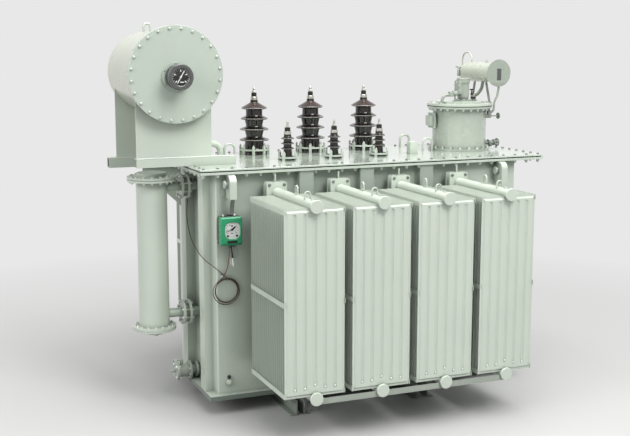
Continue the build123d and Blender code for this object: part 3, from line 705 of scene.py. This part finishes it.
def circleSpots(centre, radius, count, facing):
    # spots evenly round a circle square to its facing, the first half a step round
    angle = 2 * np.pi * (np.arange(count) + 0.5) / count
    spots = np.tile(np.asarray(centre, float), (count, 1))
    first, second = (axis for axis in range(3) if facing[axis] == 0)
    spots[:, first] += radius * np.cos(angle)
    spots[:, second] += radius * np.sin(angle)
    return spots


def ringed(rings):
    # one fastener at each spot of each circle: what, size, centre, radius, count and facing
    shapes = []
    for make, size, centre, radius, count, facing in rings.values():
        shapes.append(copies(make(size), circleSpots(centre, radius, count, facing), facing))
    return joined(*shapes)


# heads on the cover's rim and nuts under it
rimBolts = {
    "inset": 32,
    "alongSide": 27,
    "alongEnd": 9,
    "headSize": 0.72,
    "nutSize": 1.12,
    "beamX": -1116,            # no heads under the support's beam, left of this
    "beamY": (-310, -205),
    "turnEach": 47,            # degrees from one head to the next
    "headTurns": 60,
    "nutTurns": 9,
}


def rimSpots():
    # evenly along the front, the back, the left and the right of the cover's rim
    left, right, half = unit["rim"]
    left, right, half = left + rimBolts["inset"], right - rimBolts["inset"], half - rimBolts["inset"]
    x = np.linspace(left, right, rimBolts["alongSide"])
    y = np.linspace(-half, half, rimBolts["alongEnd"] + 2)[1:-1]
    rows = [np.c_[x, np.full(len(x), -half)], np.c_[x, np.full(len(x), half)],
            np.c_[np.full(len(y), left), y], np.c_[np.full(len(y), right), y]]
    return np.vstack(rows)


def atHeight(spots, z):
    # the same height added to each flat spot
    return np.c_[spots, np.full(len(spots), z)]


rim = rimSpots()
beamFront, beamBack = rimBolts["beamY"]
underBeam = (rim[:, 0] < rimBolts["beamX"]) & (rim[:, 1] > beamFront) & (rim[:, 1] < beamBack)
heads = rim[~underBeam]
spin = (np.arange(len(rim)) * rimBolts["turnEach"]) % rimBolts["headTurns"]
rimHeads = copies(hexHead(rimBolts["headSize"]), atHeight(heads, unit["coverTop"]), up,
                  spin[:len(heads)])
rimNuts = copies(nutAndStud(rimBolts["nutSize"]), atHeight(rim, unit["rimBottom"]), down,
                 spin % rimBolts["nutTurns"])
makePiece("rim_bolt_heads", rimHeads, dullBolt)
makePiece("rim_bolt_nuts", rimNuts, nutAndHighlightPaint)


# column and pipe joints on the left end: fastener, size, centre, radius, count and facing
pipeRings = {
    "column top heads": (hexHead, 0.8, (-1742, 0, 1892), 170, 16, up),
    "column top nuts": (nutAndStud, 0.8, (-1742, 0, 1853), 170, 16, down),
    "column foot nuts": (nutAndStud, 0.8, (-1742, 0, 650), 154, 16, up),
    "column foot heads": (hexHead, 0.8, (-1742, 0, 618), 154, 16, down),
    "upper pipe heads": (hexHead, 0.85, (-1512, 0, 1797), 86, 8, leftward),
    "upper pipe nuts": (nutAndStud, 0.85, (-1442, 0, 1797), 86, 8, rightward),
    "upper pipe rods": (tieRod, 1, (-1494, 0, 1797), 86, 8, rightward),
    "lower pipe heads": (hexHead, 0.85, (-1512, 0, 738), 86, 8, leftward),
    "lower pipe nuts": (nutAndStud, 0.85, (-1442, 0, 738), 86, 8, rightward),
    "lower pipe rods": (tieRod, 1, (-1494, 0, 738), 86, 8, rightward),
    "drain end heads": (hexHead, 0.7, (-1572, 0, 232), 64, 4, leftward),
    "drain end nuts": (nutAndStud, 0.6, (-1552, 0, 232), 68, 4, rightward),
    "drain wall heads": (hexHead, 0.6, (-1462, 0, 232), 67, 8, leftward),
}
makePiece("pipe_joint_bolts", ringed(pipeRings), zinc)


# radiator flanges: a bolt through each corner, with its nut behind the wall flange
radiatorJoint = {"size": 0.75, "corner": 62, "headY": 664, "nutY": 586}


def radiatorBolts():
    # four corners round each header, with a head facing out and a nut facing in at each
    j = radiatorJoint
    corners = [(a * j["corner"], b * j["corner"]) for a in (-1, 1) for b in (-1, 1)]
    shapes = []
    for side in (-1, 1):
        for z in (unit["headerTop"], unit["headerBottom"]):
            for x in unit["radiatorX"]:
                outer = [(x + a, side * j["headY"], z + b) for a, b in corners]
                inner = [(x + a, side * j["nutY"], z + b) for a, b in corners]
                shapes.append(copies(hexHead(j["size"]), outer, (0, side, 0)))
                shapes.append(copies(nutAndStud(j["size"]), inner, (0, -side, 0)))
    return joined(*shapes)


makePiece("radiator_flange_bolts", radiatorBolts(), dullBolt)


# tap changer and its gear: fastener, size, centre, radius, count and facing
tapRings = {
    "cover heads": (hexHead, 0.6, (1150, 75, 2415), 268, 24, up),
    "foot nuts": (nutAndStud, 0.85, (1150, 75, 2015), 261, 20, up),
    "gear foot": (hexHead, 0.5, (1185, 75, 2443), 70, 8, up),
    "gear side": (hexHead, 0.45, (1119, 75, 2551), 48, 6, leftward),
}
tapNuts = {"under the cover": (nutAndStud, 0.85, (1150, 75, 2371), 268, 24, down)}
tapSeal = {"ring": {"loop": [(293.5, 0), (293.5, 6), (288, 6), (288, 0)], "steps": 96,
                    "spots": (1150, 75, 2389)}}
makePiece("tap_changer_bolts", ringed(tapRings), zinc)
makePiece("tap_changer_nuts", ringed(tapNuts), nutAndHighlightPaint)
makePiece("tap_changer_seal", built(tapSeal), rubber)


# conservator: domed bolts round its end cover, nuts behind the flange and the gauge's own ring
drumRings = {
    "cover domes": (domedHead, 1, (-1622, -388, 2717), 355, 24, forward),
    "cover nuts": (nutAndStud, 0.9, (-1622, -358, 2717), 355, 24, backward),
    "gauge heads": (hexHead, 0.5, (-1622, -400, 2702), 105, 6, forward),
}
makePiece("conservator_bolts", ringed(drumRings), bodyPaint)


# bushings: nuts on the clamps and terminals, and pale rings on the rims of the sheds, partly thinner
# glaze and partly painted highlight
bushings = {
    "high": {
        "x": (-720, -191, 329),
        "y": 378,
        "clamp": (0.6, 2065, 123, 8),              # nut size, height, radius and count
        "nut": [(20, 0), (20, 12), (17, 15)],
        "nutHeight": 2530,
        "sheds": ((130, 2121), (127, 2213), (119, 2305), (113, 2395)),        # radius, height
        "lip": [(0.8, -1.5), (0.8, 1.5), (-5, 5.5), (-5, 2)],
        "lipSteps": 64,
    },
    "low": {
        "x": (-618, -196, 226),
        "y": -163,
        "clamp": (0.55, 2055, 73, 4),
        "nut": [(17, 0), (17, 10), (14, 12)],
        "nutHeight": 2266,
        "sheds": ((56, 2088), (56, 2130), (55, 2172)),
        "lip": [(0.6, -1), (0.6, 1), (-3, 3.4), (-3, 1)],
        "lipSteps": 48,
    },
}


def bushingNuts():
    # a circle of nuts on each clamp and one six-sided nut on each terminal
    shapes = []
    for bushing in bushings.values():
        size, height, radius, count = bushing["clamp"]
        for x in bushing["x"]:
            spots = circleSpots((x, bushing["y"], height), radius, count, up)
            shapes.append(copies(nutAndStud(size), spots))
            top = (x, bushing["y"], bushing["nutHeight"])
            shapes.append(copies(turned(bushing["nut"], 6), top))
    return joined(*shapes)


def shedRims():
    # each lip is a loop of offsets from its shed's edge, swept round
    shapes = []
    for bushing in bushings.values():
        for x in bushing["x"]:
            for radius, z in bushing["sheds"]:
                ring = hooped(np.array(bushing["lip"]) + [radius, 0], bushing["lipSteps"])
                shapes.append(copies(ring, (x, bushing["y"], z)))
    return joined(*shapes)


makePiece("bushing_nuts", bushingNuts(), zinc)
makePiece("insulator_rims", shedRims(), rimGlazeAndHighlight)
print("stage: fasteners")


# a mark on a dial is a slab, with its angles from +X, its reach from the centre and its lift
def onDial(centre, slab, angle, reach, lift, upright=False):
    # the slab points outwards at each angle, unless it stays upright
    x, y, z = centre
    turn = np.radians(angle)
    across, rise = x + reach * np.cos(turn), z + reach * np.sin(turn)
    spots = np.stack(np.broadcast_arrays(across, y - lift, rise), axis=-1)
    spin = 0.0 if upright else np.asarray(angle) - 90
    return {"slab": slab, "steps": 2, "spots": spots, "facing": forward, "spin": spin}


# conservator oil gauge: dark dial, white bars and a white pointer across it
oilDial = {"centre": (-1622, -513.5, 2702), "bars": 17, "sweep": (-42, 222), "thickEvery": 4}
centre = oilDial["centre"]
barAngle = np.linspace(*oilDial["sweep"], oilDial["bars"])
isThick = np.arange(oilDial["bars"]) % oilDial["thickEvery"] == 0
oilScale = {
    "thin bars": onDial(centre, (2.6, 9, 1.2, 0.8, 0.2), barAngle[~isThick], 60, 2.6),
    "thick bars": onDial(centre, (9, 19, 1.2, 2, 0.2), barAngle[isThick], 50, 2.6),
    "pointer": onDial(centre, (8, 112, 2, 3, 0.5), 59, 0, 4.5),
    "foot": onDial(centre, (30, 8, 1.4, 2, 0.3), -75.0, 40, 2.6, upright=True),
    "hub": {"profile": [(8, 0), (8, 5), (5, 7)], "steps": 16, "spots": (-1622, -516, 2702),
            "facing": forward},
}
oilDisc = {"disc": {"profile": [(70, 0), (70, 2.5), (69, 3)], "steps": 48, "spots": centre,
                    "facing": forward}}
oilRing = {"ring": {"loop": [(72, 0), (72, 3), (67, 5), (66, 4), (66, 0)], "steps": 48,
                    "spots": (-1622, -515.5, 2702), "facing": forward}}
makePiece("oil_gauge_dial", built(oilDisc), blackMarksAndShade)
makePiece("oil_gauge_scale", built(oilScale), whiteMarks)
makePiece("oil_gauge_inner_ring", built(oilRing), zinc)


# thermometer: green front with sloping edges, white dial, pointers, screws and a strip
thermometer = {
    "front": (-1279, -646, 1514),
    "size": (176, 210),
    "corner": 14,
    "faceCorner": 10,
    "thickness": 11,
    "slope": 7,
    "window": (-1268, 1515),
    "windowSize": (124, 132),
    "windowCorner": 44,
    "windowSlope": (4, 2),            # how much wider it is at the face, and how deep that goes
    "centre": (-1272, -648, 1524),    # of the dial's marks
    "ticks": (215, -35, 11),          # first and last angle, and how many
    "blockEvery": 3,
}


def thermometerFront():
    # outer outline rising to the front face, then the window's outline going back in
    t = thermometer
    (x, _, z), (width, height) = t["front"], t["size"]
    (windowX, windowZ), (windowWidth, windowHeight) = t["window"], t["windowSize"]
    slope, thick, wider, deep = t["slope"], t["thickness"], *t["windowSlope"]
    rings = [outline(width, height, t["corner"], 0),
             outline(width, height, t["corner"], thick - slope),
             outline(width - 2 * slope, height - 2 * slope, t["faceCorner"], thick)]
    for margin, level in ((wider, thick), (0, thick - deep), (0, 0)):
        ring = outline(windowWidth + margin, windowHeight + margin, t["windowCorner"], level)
        rings.append(ring + [windowX - x, windowZ - z, 0])
    return copies(looped(np.array(rings)), t["front"], forward)


centre = thermometer["centre"]
ticks = np.linspace(*thermometer["ticks"])
blocks = ticks[1::thermometer["blockEvery"]]
whiteDisc = {"disc": {"slab": (132, 140, 2.5, 46, 0.4), "steps": 6, "spots": (-1268, -647, 1515),
                      "facing": forward}}
thermometerMarks = {
    "ticks": onDial(centre, (3, 8, 0.8, 1, 0.2), ticks, 48, 1.2),
    "blocks": onDial(centre, (7, 5, 0.8, 1.2, 0.2), blocks, 37, 1.2, upright=True),
    "bold pointer": onDial(centre, (14, 38, 1.6, 4, 0.4), 38.0, 14, 3),
    "fine pointer": onDial(centre, (4, 54, 1.2, 1, 0.3), 201.0, 24, 3),
    "hub": {"profile": [(9, 0), (9, 4), (6, 6)], "steps": 16, "spots": (-1272, -649, 1524),
            "facing": forward},
    "upper mark": onDial(centre, (14, 12, 0.8, 3, 0.2), 90.0, 28, 1.2, upright=True),
    "lower mark": onDial(centre, (16, 5, 0.8, 2, 0.2), -90.0, 30, 1.2, upright=True),
    "screws": {"profile": [(9, 0), (9, 3), (6, 6)], "steps": 12,
               "spots": [(-1307, -649, 1474), (-1232, -649, 1474)], "facing": forward},
    "strip": {"slab": (82, 19, 1.6, 3, 0.4), "steps": 2, "spots": (-1272, -656.5, 1427),
              "facing": forward},
}
# dark clamp on the top of the case with its strap end, and the lower gland with a short lead
clamp = {
    "strap": {"slab": (46, 22, 16, 4, 1.5), "spots": (-1277, -606, 1622)},
    "base": {"slab": (150, 60, 5, 5, 1), "spots": (-1277, -610, 1621)},
    "gland": {"profile": [(13, 0), (13, 14), (8, 16), (8, 30)], "steps": 6,
              "spots": (-1267, -606, 1398), "facing": down},
    "lead": {"path": [(-1267, -606, 1372), (-1263, -606, 1345), (-1259, -606, 1318),
                      (-1256, -606, 1290)], "radius": (5, 6, 7.5, 8), "steps": 10},
}
# pale studs on the clamp, the lead's tip, its tag and the capillary's clip
paleFittings = {
    "studs": {"profile": [(7, 0), (7, 12), (4, 15)], "steps": 8,
              "spots": [(-1333, -612, 1625), (-1238, -612, 1625)]},
    "tip": {"path": [(-1256, -606, 1292), (-1254, -606, 1284), (-1250, -606, 1240),
                     (-1248, -606, 1222)], "radius": (7, 9, 10, 6), "steps": 10},
    "tag": {"slab": (9, 40, 3, 3, 0.8), "spots": (-1272, -604, 1256), "facing": forward,
            "spin": 8},
    "clip": {"slab": (20, 16, 4, 3, 1), "spots": (-1332, -553, 1135), "facing": forward,
             "spin": 20},
}


# thin stiff loop of wire that seals the cover screw
sealLoop = {"centre": (-1232, -606.0, 1344), "width": 20, "height": 50, "depth": 3, "lean": 0.35,
            "halfTurns": 1.9, "points": 40, "radius": 1.1}


def sealWire():
    # an open ring, narrower at its top than at its bottom and waving a little out of its plane
    s = sealLoop
    x, y, z = s["centre"]
    turn = np.linspace(0, s["halfTurns"] * np.pi, s["points"])
    across = x + s["width"] * np.sin(turn) * (1 - s["lean"] * np.cos(turn))
    path = np.stack([across, y + s["depth"] * np.sin(turn), z + s["height"] * np.cos(turn)], axis=1)
    return carried(path, s["radius"], 6)


makePiece("thermometer_front", thermometerFront(), greenEnamel)
makePiece("thermometer_dial", built(whiteDisc), whiteDial)
makePiece("thermometer_marks", built(thermometerMarks), blackMarksAndShade)
makePiece("thermometer_clamp", built(clamp), blackEnamel)
makePiece("thermometer_pale_fittings", built(paleFittings), whiteDial)
makePiece("thermometer_seal_wire", sealWire(), darkMetal)
print("stage: dials and thermometer")


# pale raised domes as painted highlights where the pressed grooves run out, and two beside the lower
# header
highlightDome = {
    "tip": [(9.5, 0), (8.5, 2.4), (5.5, 4.2), (2, 5)],
    "tipSteps": 14,
    "tips": ((-160, 437), (-80, 437), (0, 462), (80, 437), (160, 437)),     # from the middle, up
    "small": [(6, 0), (5, 1.8), (2, 3)],
    "smallSteps": 10,
    "smalls": ((-48, 452), (20, 446)),
    "sunk": 1,                 # mm behind the panel's face
}


def grooveHighlightDomes():
    # both kinds of highlight dome, at their places from the middle of each radiator's outer face
    g = highlightDome
    tip, small = turned(g["tip"], g["tipSteps"]), turned(g["small"], g["smallSteps"])
    shapes = []
    for side in (-1, 1):
        face = side * (unit["radiatorFace"] - g["sunk"])
        for x in unit["radiatorX"]:
            for shape, places in ((tip, g["tips"]), (small, g["smalls"])):
                spots = [(x + across, face, z) for across, z in places]
                shapes.append(copies(shape, spots, (0, side, 0)))
    return joined(*shapes)


# lifting ring with its boss, vent loop and plug on every top header
headerFitting = {
    "ring": {"y": 1085, "z": 1833.0, "half": 22, "rise": 70, "radius": 7, "spin": 90},
    "boss": {"y": 1085, "z": 1833.0, "profile": [(14, 0), (14, 12), (9, 16)], "steps": 12},
    "loop": {"y": 1300, "z": 1824.0, "half": 25, "rise": 62, "radius": 6, "spin": 8},
    "plug": {"y": 1395, "z": 1832.0, "profile": [(13, 0), (13, 12), (10, 14)], "steps": 6},
}


def hoop(half, rise, radius, steps=22):
    # up one side, half round the top and down the other, in the XZ plane
    turn = np.linspace(0, np.pi, steps)
    straight = rise - half
    x = np.concatenate([[half, half], half * np.cos(turn)[1:-1], [-half, -half]])
    z = np.concatenate([[0, straight], straight + half * np.sin(turn)[1:-1], [straight, 0]])
    return carried(np.stack([x, np.zeros(len(x)), z], axis=1), radius, 10)


def headerFittings():
    # a hoop where the entry has a rise, and a turned profile where it has none
    x = np.array(unit["radiatorX"], float)
    shapes = []
    for side in (-1, 1):
        for fitting in headerFitting.values():
            spots = np.c_[x, np.full(len(x), side * fitting["y"]), np.full(len(x), fitting["z"])]
            if "rise" in fitting:
                shape = hoop(fitting["half"], fitting["rise"], fitting["radius"])
            else:
                shape = turned(fitting["profile"], fitting["steps"])
            shapes.append(copies(shape, spots, up, fitting.get("spin", 0.0)))
    return joined(*shapes)


# hooked bracket under the first radiator
bottomHook = {
    "hook": {"path": [(-988, -1446, 366), (-976, -1446, 352), (-970, -1447, 336),
                      (-970, -1448, 318), (-976, -1449, 300), (-978, -1450, 284),
                      (-970, -1450, 272), (-952, -1450, 266), (-930, -1450, 265)],
             "radius": (7, 9, 9, 8, 8, 9, 9, 7, 7), "steps": 10},
    "brace": {"path": [(-968, -1450, 345), (-950, -1452, 330), (-932, -1452, 314)],
              "radius": 3, "steps": 8},
}
# pale domes: painted highlights at the grooves' ends
makePiece("groove_end_highlights", grooveHighlightDomes(), nutAndHighlightPaint)
makePiece("header_lifting_loops", headerFittings(), bodyPaint)
makePiece("radiator_bottom_bracket", built(bottomHook), blackEnamel)


# weld beads: upright ones beside the ribs and level ones at the foot of the tank and under the rim
welds = {
    "radius": 4.0,
    "sideRibs": (-620, -85, 465),
    "sideHalf": 61,
    "endRibs": {-1: (-352, 150), 1: (-150, 352)},        # on the left end and on the right end
    "endHalf": 65,
}


def rods(starts, ends, radius):
    # a six-sided rod from each start to its end
    shapes = []
    for start, end in zip(np.array(starts, float), np.array(ends, float)):
        rod = turned([(radius, 0), (radius, np.linalg.norm(end - start))], 6)
        shapes.append(copies(rod, start, end - start))
    return joined(*shapes)


def weldBeads():
    # rods up both sides of each rib, then level ones along all four walls at two heights
    wall, end, low, high = unit["tankWall"], unit["tankEnd"], unit["tankFoot"], unit["rimBottom"]
    beads = []
    for x in welds["sideRibs"]:
        for offset in (-welds["sideHalf"], welds["sideHalf"]):
            for y in (-wall, wall):
                beads.append(((x + offset, y, low), (x + offset, y, high)))
    for side, centres in welds["endRibs"].items():
        for y in centres:
            for offset in (-welds["endHalf"], welds["endHalf"]):
                beads.append(((side * end, y + offset, low), (side * end, y + offset, high)))
    for y in (-wall, wall):
        for z in (low, high):
            beads.append(((-end, y, z), (end, y, z)))
    for x in (-end, end):
        for z in (low, high):
            beads.append(((x, -wall, z), (x, wall, z)))
    return rods(*zip(*beads), welds["radius"])


makePiece("weld_beads", weldBeads(), bodyPaint)


# pale rods painted as highlights on the upper edges of the conservator's support, and a dark slab as
# painted shade in the open end of its channel
supportHighlight = {"starts": [(-1926, -292, 2065), (-1926, 425, 2004)],
               "ends": [(-1117, -292, 2065), (-1521, 425, 2004)], "radius": 3.5}
channelShade = {"end": {"slab": (62, 67, 6, 2, 0.5), "spots": (-1984, 465, 1963.5),
                      "facing": leftward}}
highlightRods = rods(supportHighlight["starts"], supportHighlight["ends"], supportHighlight["radius"])
# pale rods: painted highlights on the beams' upper edges
makePiece("support_edge_highlights", highlightRods, nutAndHighlightPaint)
# dark slab: painted shade inside the open end of the channel
makePiece("support_channel_shade", built(channelShade), blackMarksAndShade)


# upright breather cup, its crossed arm and a knob, beside the back of the small drum
breather = {
    "cup": {"profile": [(9, 2640), (15, 2644), (18, 2650), (18, 2698), (13, 2704), (13, 2724),
                        (9, 2728)], "steps": 16, "spots": (1342, 430, 0)},
    "arm": {"path": [(1318, 430, 2730), (1342, 430, 2724), (1366, 430, 2716), (1388, 430, 2710)],
            "radius": 7, "steps": 10, "across": up},
    "knob": {"profile": [(10, 0), (10, 10), (7, 12)], "steps": 8, "spots": (1320, 430, 2730),
             "facing": leftward},
}
makePiece("small_drum_breather", built(breather), upperPaint)


# sampling bosses near the foot and welded pads higher up, one of each at the front and the back
wallBosses = {
    "bosses": {"profile": [(26, 0), (26, 22), (20, 26), (14, 26), (14, 38), (11, 40)],
               "steps": 18, "spots": [(-1275, -530, 255), (1220, 530, 255)],
               "facing": [forward, backward]},
    "pads": {"slab": (34, 56, 5, 3, 1.5), "spots": [(-1304, -530, 1800), (1240, 530, 1800)],
             "facing": [forward, backward]},
}
# plugs above the bosses, and the vent cock, its handle and a band on the gear housing's pipe
darkPlugs = {
    "plugs": {"profile": [(15, 0), (15, 12), (10, 15)], "steps": 6,
              "spots": [(-1275, -530, 300), (1220, 530, 300)], "facing": [forward, backward]},
    "stem": {"profile": [(9, 0), (9, 22), (5, 24), (5, 50)], "steps": 10,
             "spots": (1290, 104, 2476)},
    "handle": {"profile": [(6, 0), (6, 34)], "steps": 8, "spots": (1273, 104, 2530),
               "facing": rightward},
    "band": {"loop": [(25, 0), (25, 16), (23.5, 16), (23.5, 0)], "steps": 24,
             "spots": (1309, 104, 2448)},
}
# small plate on the small drum's disc
drumPlate = {"plate": {"slab": (42, 104, 2, 3, 0.5), "spots": (1419, -151.5, 2673),
                       "facing": forward}}
makePiece("wall_bosses", built(wallBosses), bodyPaint)
makePiece("dark_plugs", built(darkPlugs), blackEnamel)
makePiece("small_drum_plate", built(drumPlate), darkMetal)
print("stage: fittings and beads")


# floor, backdrop and lamps
stage = {
    "background": 0.807,         # linear grey that a camera, a mirror or glass sees
    "floor": (0.538, 0.538, 0.533),
    "floorRoughness": 0.9,
    "floorBounce": 0.30,         # what the floor shows to the light that bounces off it
    "floorHalf": 60,
    "grain": (1.1, 2, 0.3, 0.7),
    "grainTones": (0.99, 1.01),
    "fade": (2.6, 6.5),          # metres from the middle where the floor turns into the backdrop
    "world": {"below": 0.12, "horizon": 0.30, "above": 0.62},
    "aim": (0, 0, 1.4),
    "lamps": {
        "overhead": {"place": (0.3, -1.4, 12.4), "size": 8.0, "power": 840},
        "front": {"place": (2.6, -8.6, 10.6), "size": 6.0, "power": 1060},
        "left": {"place": (-11.6, -3.4, 6.6), "size": 6.0, "power": 590},
    },
}


def seenBySight(material):
    # 1 for camera, mirror and glass rays, 0 for the light that bounces
    path = node(material, "LightPath")
    rays = ("Is Camera Ray", "Is Glossy Ray", "Is Transmission Ray")
    return combined(material, "MAXIMUM", [path.outputs[ray] for ray in rays])


def floorMaterial():
    # pale near the unit, where it holds the shadow, and fading into the backdrop further out
    material = newMaterial("floor", stage["floor"], stage["floorRoughness"])
    shader = shaderOf(material)
    grain = patches(material, stage["grain"], *stage["grainTones"])
    tone = mixed(material, seenBySight(material), (stage["floorBounce"],) * 3, stage["floor"])
    wire(material, mixed(material, grain, (0.0, 0.0, 0.0), tone), shader.inputs["Base Color"])
    glow = node(material, "Emission", Strength=1.0)
    glow.inputs["Color"].default_value = (*((stage["background"],) * 3), 1)
    place = node(material, "TexCoord")
    reach = node(material, "VectorMath", operation="LENGTH")
    wire(material, place.outputs["Object"], reach.inputs[0])
    fade = ranged(material, reach.outputs["Value"], *stage["fade"], 0.0, 1.0)
    seen = reckoned(material, "MULTIPLY", fade, seenBySight(material))
    blend = node(material, "MixShader")
    for socket, source in zip(blend.inputs, (seen, shader.outputs[0], glow.outputs[0])):
        wire(material, source, socket)
    output = [n for n in material.node_tree.nodes if n.type == "OUTPUT_MATERIAL"][0]
    wire(material, blend.outputs[0], output.inputs["Surface"])
    return material


def worldLight():
    # bright overhead, dimmer at the horizon and darker below, with the backdrop's grey in sight
    world = bpy.data.worlds.new("world")
    bpy.context.scene.world = world
    world.use_nodes = True
    background = world.node_tree.nodes["Background"]
    place = node(world, "TexCoord")
    height = node(world, "SeparateXYZ")
    wire(world, place.outputs["Generated"], height.inputs["Vector"])
    ramp = node(world, "ValToRGB")
    ramp.color_ramp.interpolation = "EASE"
    ramp.color_ramp.elements.new(0.5)
    for element, spot, level in zip(ramp.color_ramp.elements, (0.0, 0.5, 1.0),
                                    stage["world"].values()):
        element.position = spot
        element.color = (level, level, level, 1)
    wire(world, ranged(world, height.outputs["Z"], -1, 1, 0, 1), ramp.inputs["Fac"])
    tone = mixed(world, seenBySight(world), ramp.outputs["Color"], (stage["background"],) * 3)
    wire(world, tone, background.inputs["Color"])
    background.inputs["Strength"].default_value = 1.0


def floorPlane():
    # one flat square that reaches its half width from the middle each way
    half = stage["floorHalf"]
    corners = [(-half, -half, 0), (half, -half, 0), (half, half, 0), (-half, half, 0)]
    mesh = bpy.data.meshes.new("floor")
    mesh.from_pydata(corners, [], [(0, 1, 2, 3)])
    mesh.materials.append(floorMaterial())
    floor = bpy.data.objects.new("floor", mesh)
    bpy.context.scene.collection.objects.link(floor)


def lamps():
    # a square lamp for each entry, turned so that its own -Z runs to the aim
    for name, values in stage["lamps"].items():
        lamp = bpy.data.lights.new(name, "AREA")
        lamp.energy = values["power"]
        lamp.size = values["size"]
        made = bpy.data.objects.new(name, lamp)
        made.location = values["place"]
        aim = Vector(stage["aim"]) - Vector(values["place"])
        made.rotation_euler = aim.to_track_quat("-Z", "Y").to_euler()
        bpy.context.scene.collection.objects.link(made)


floorPlane()
worldLight()
lamps()
bpy.context.scene.view_settings.view_transform = "Standard"
print("stage: floor and lamps")
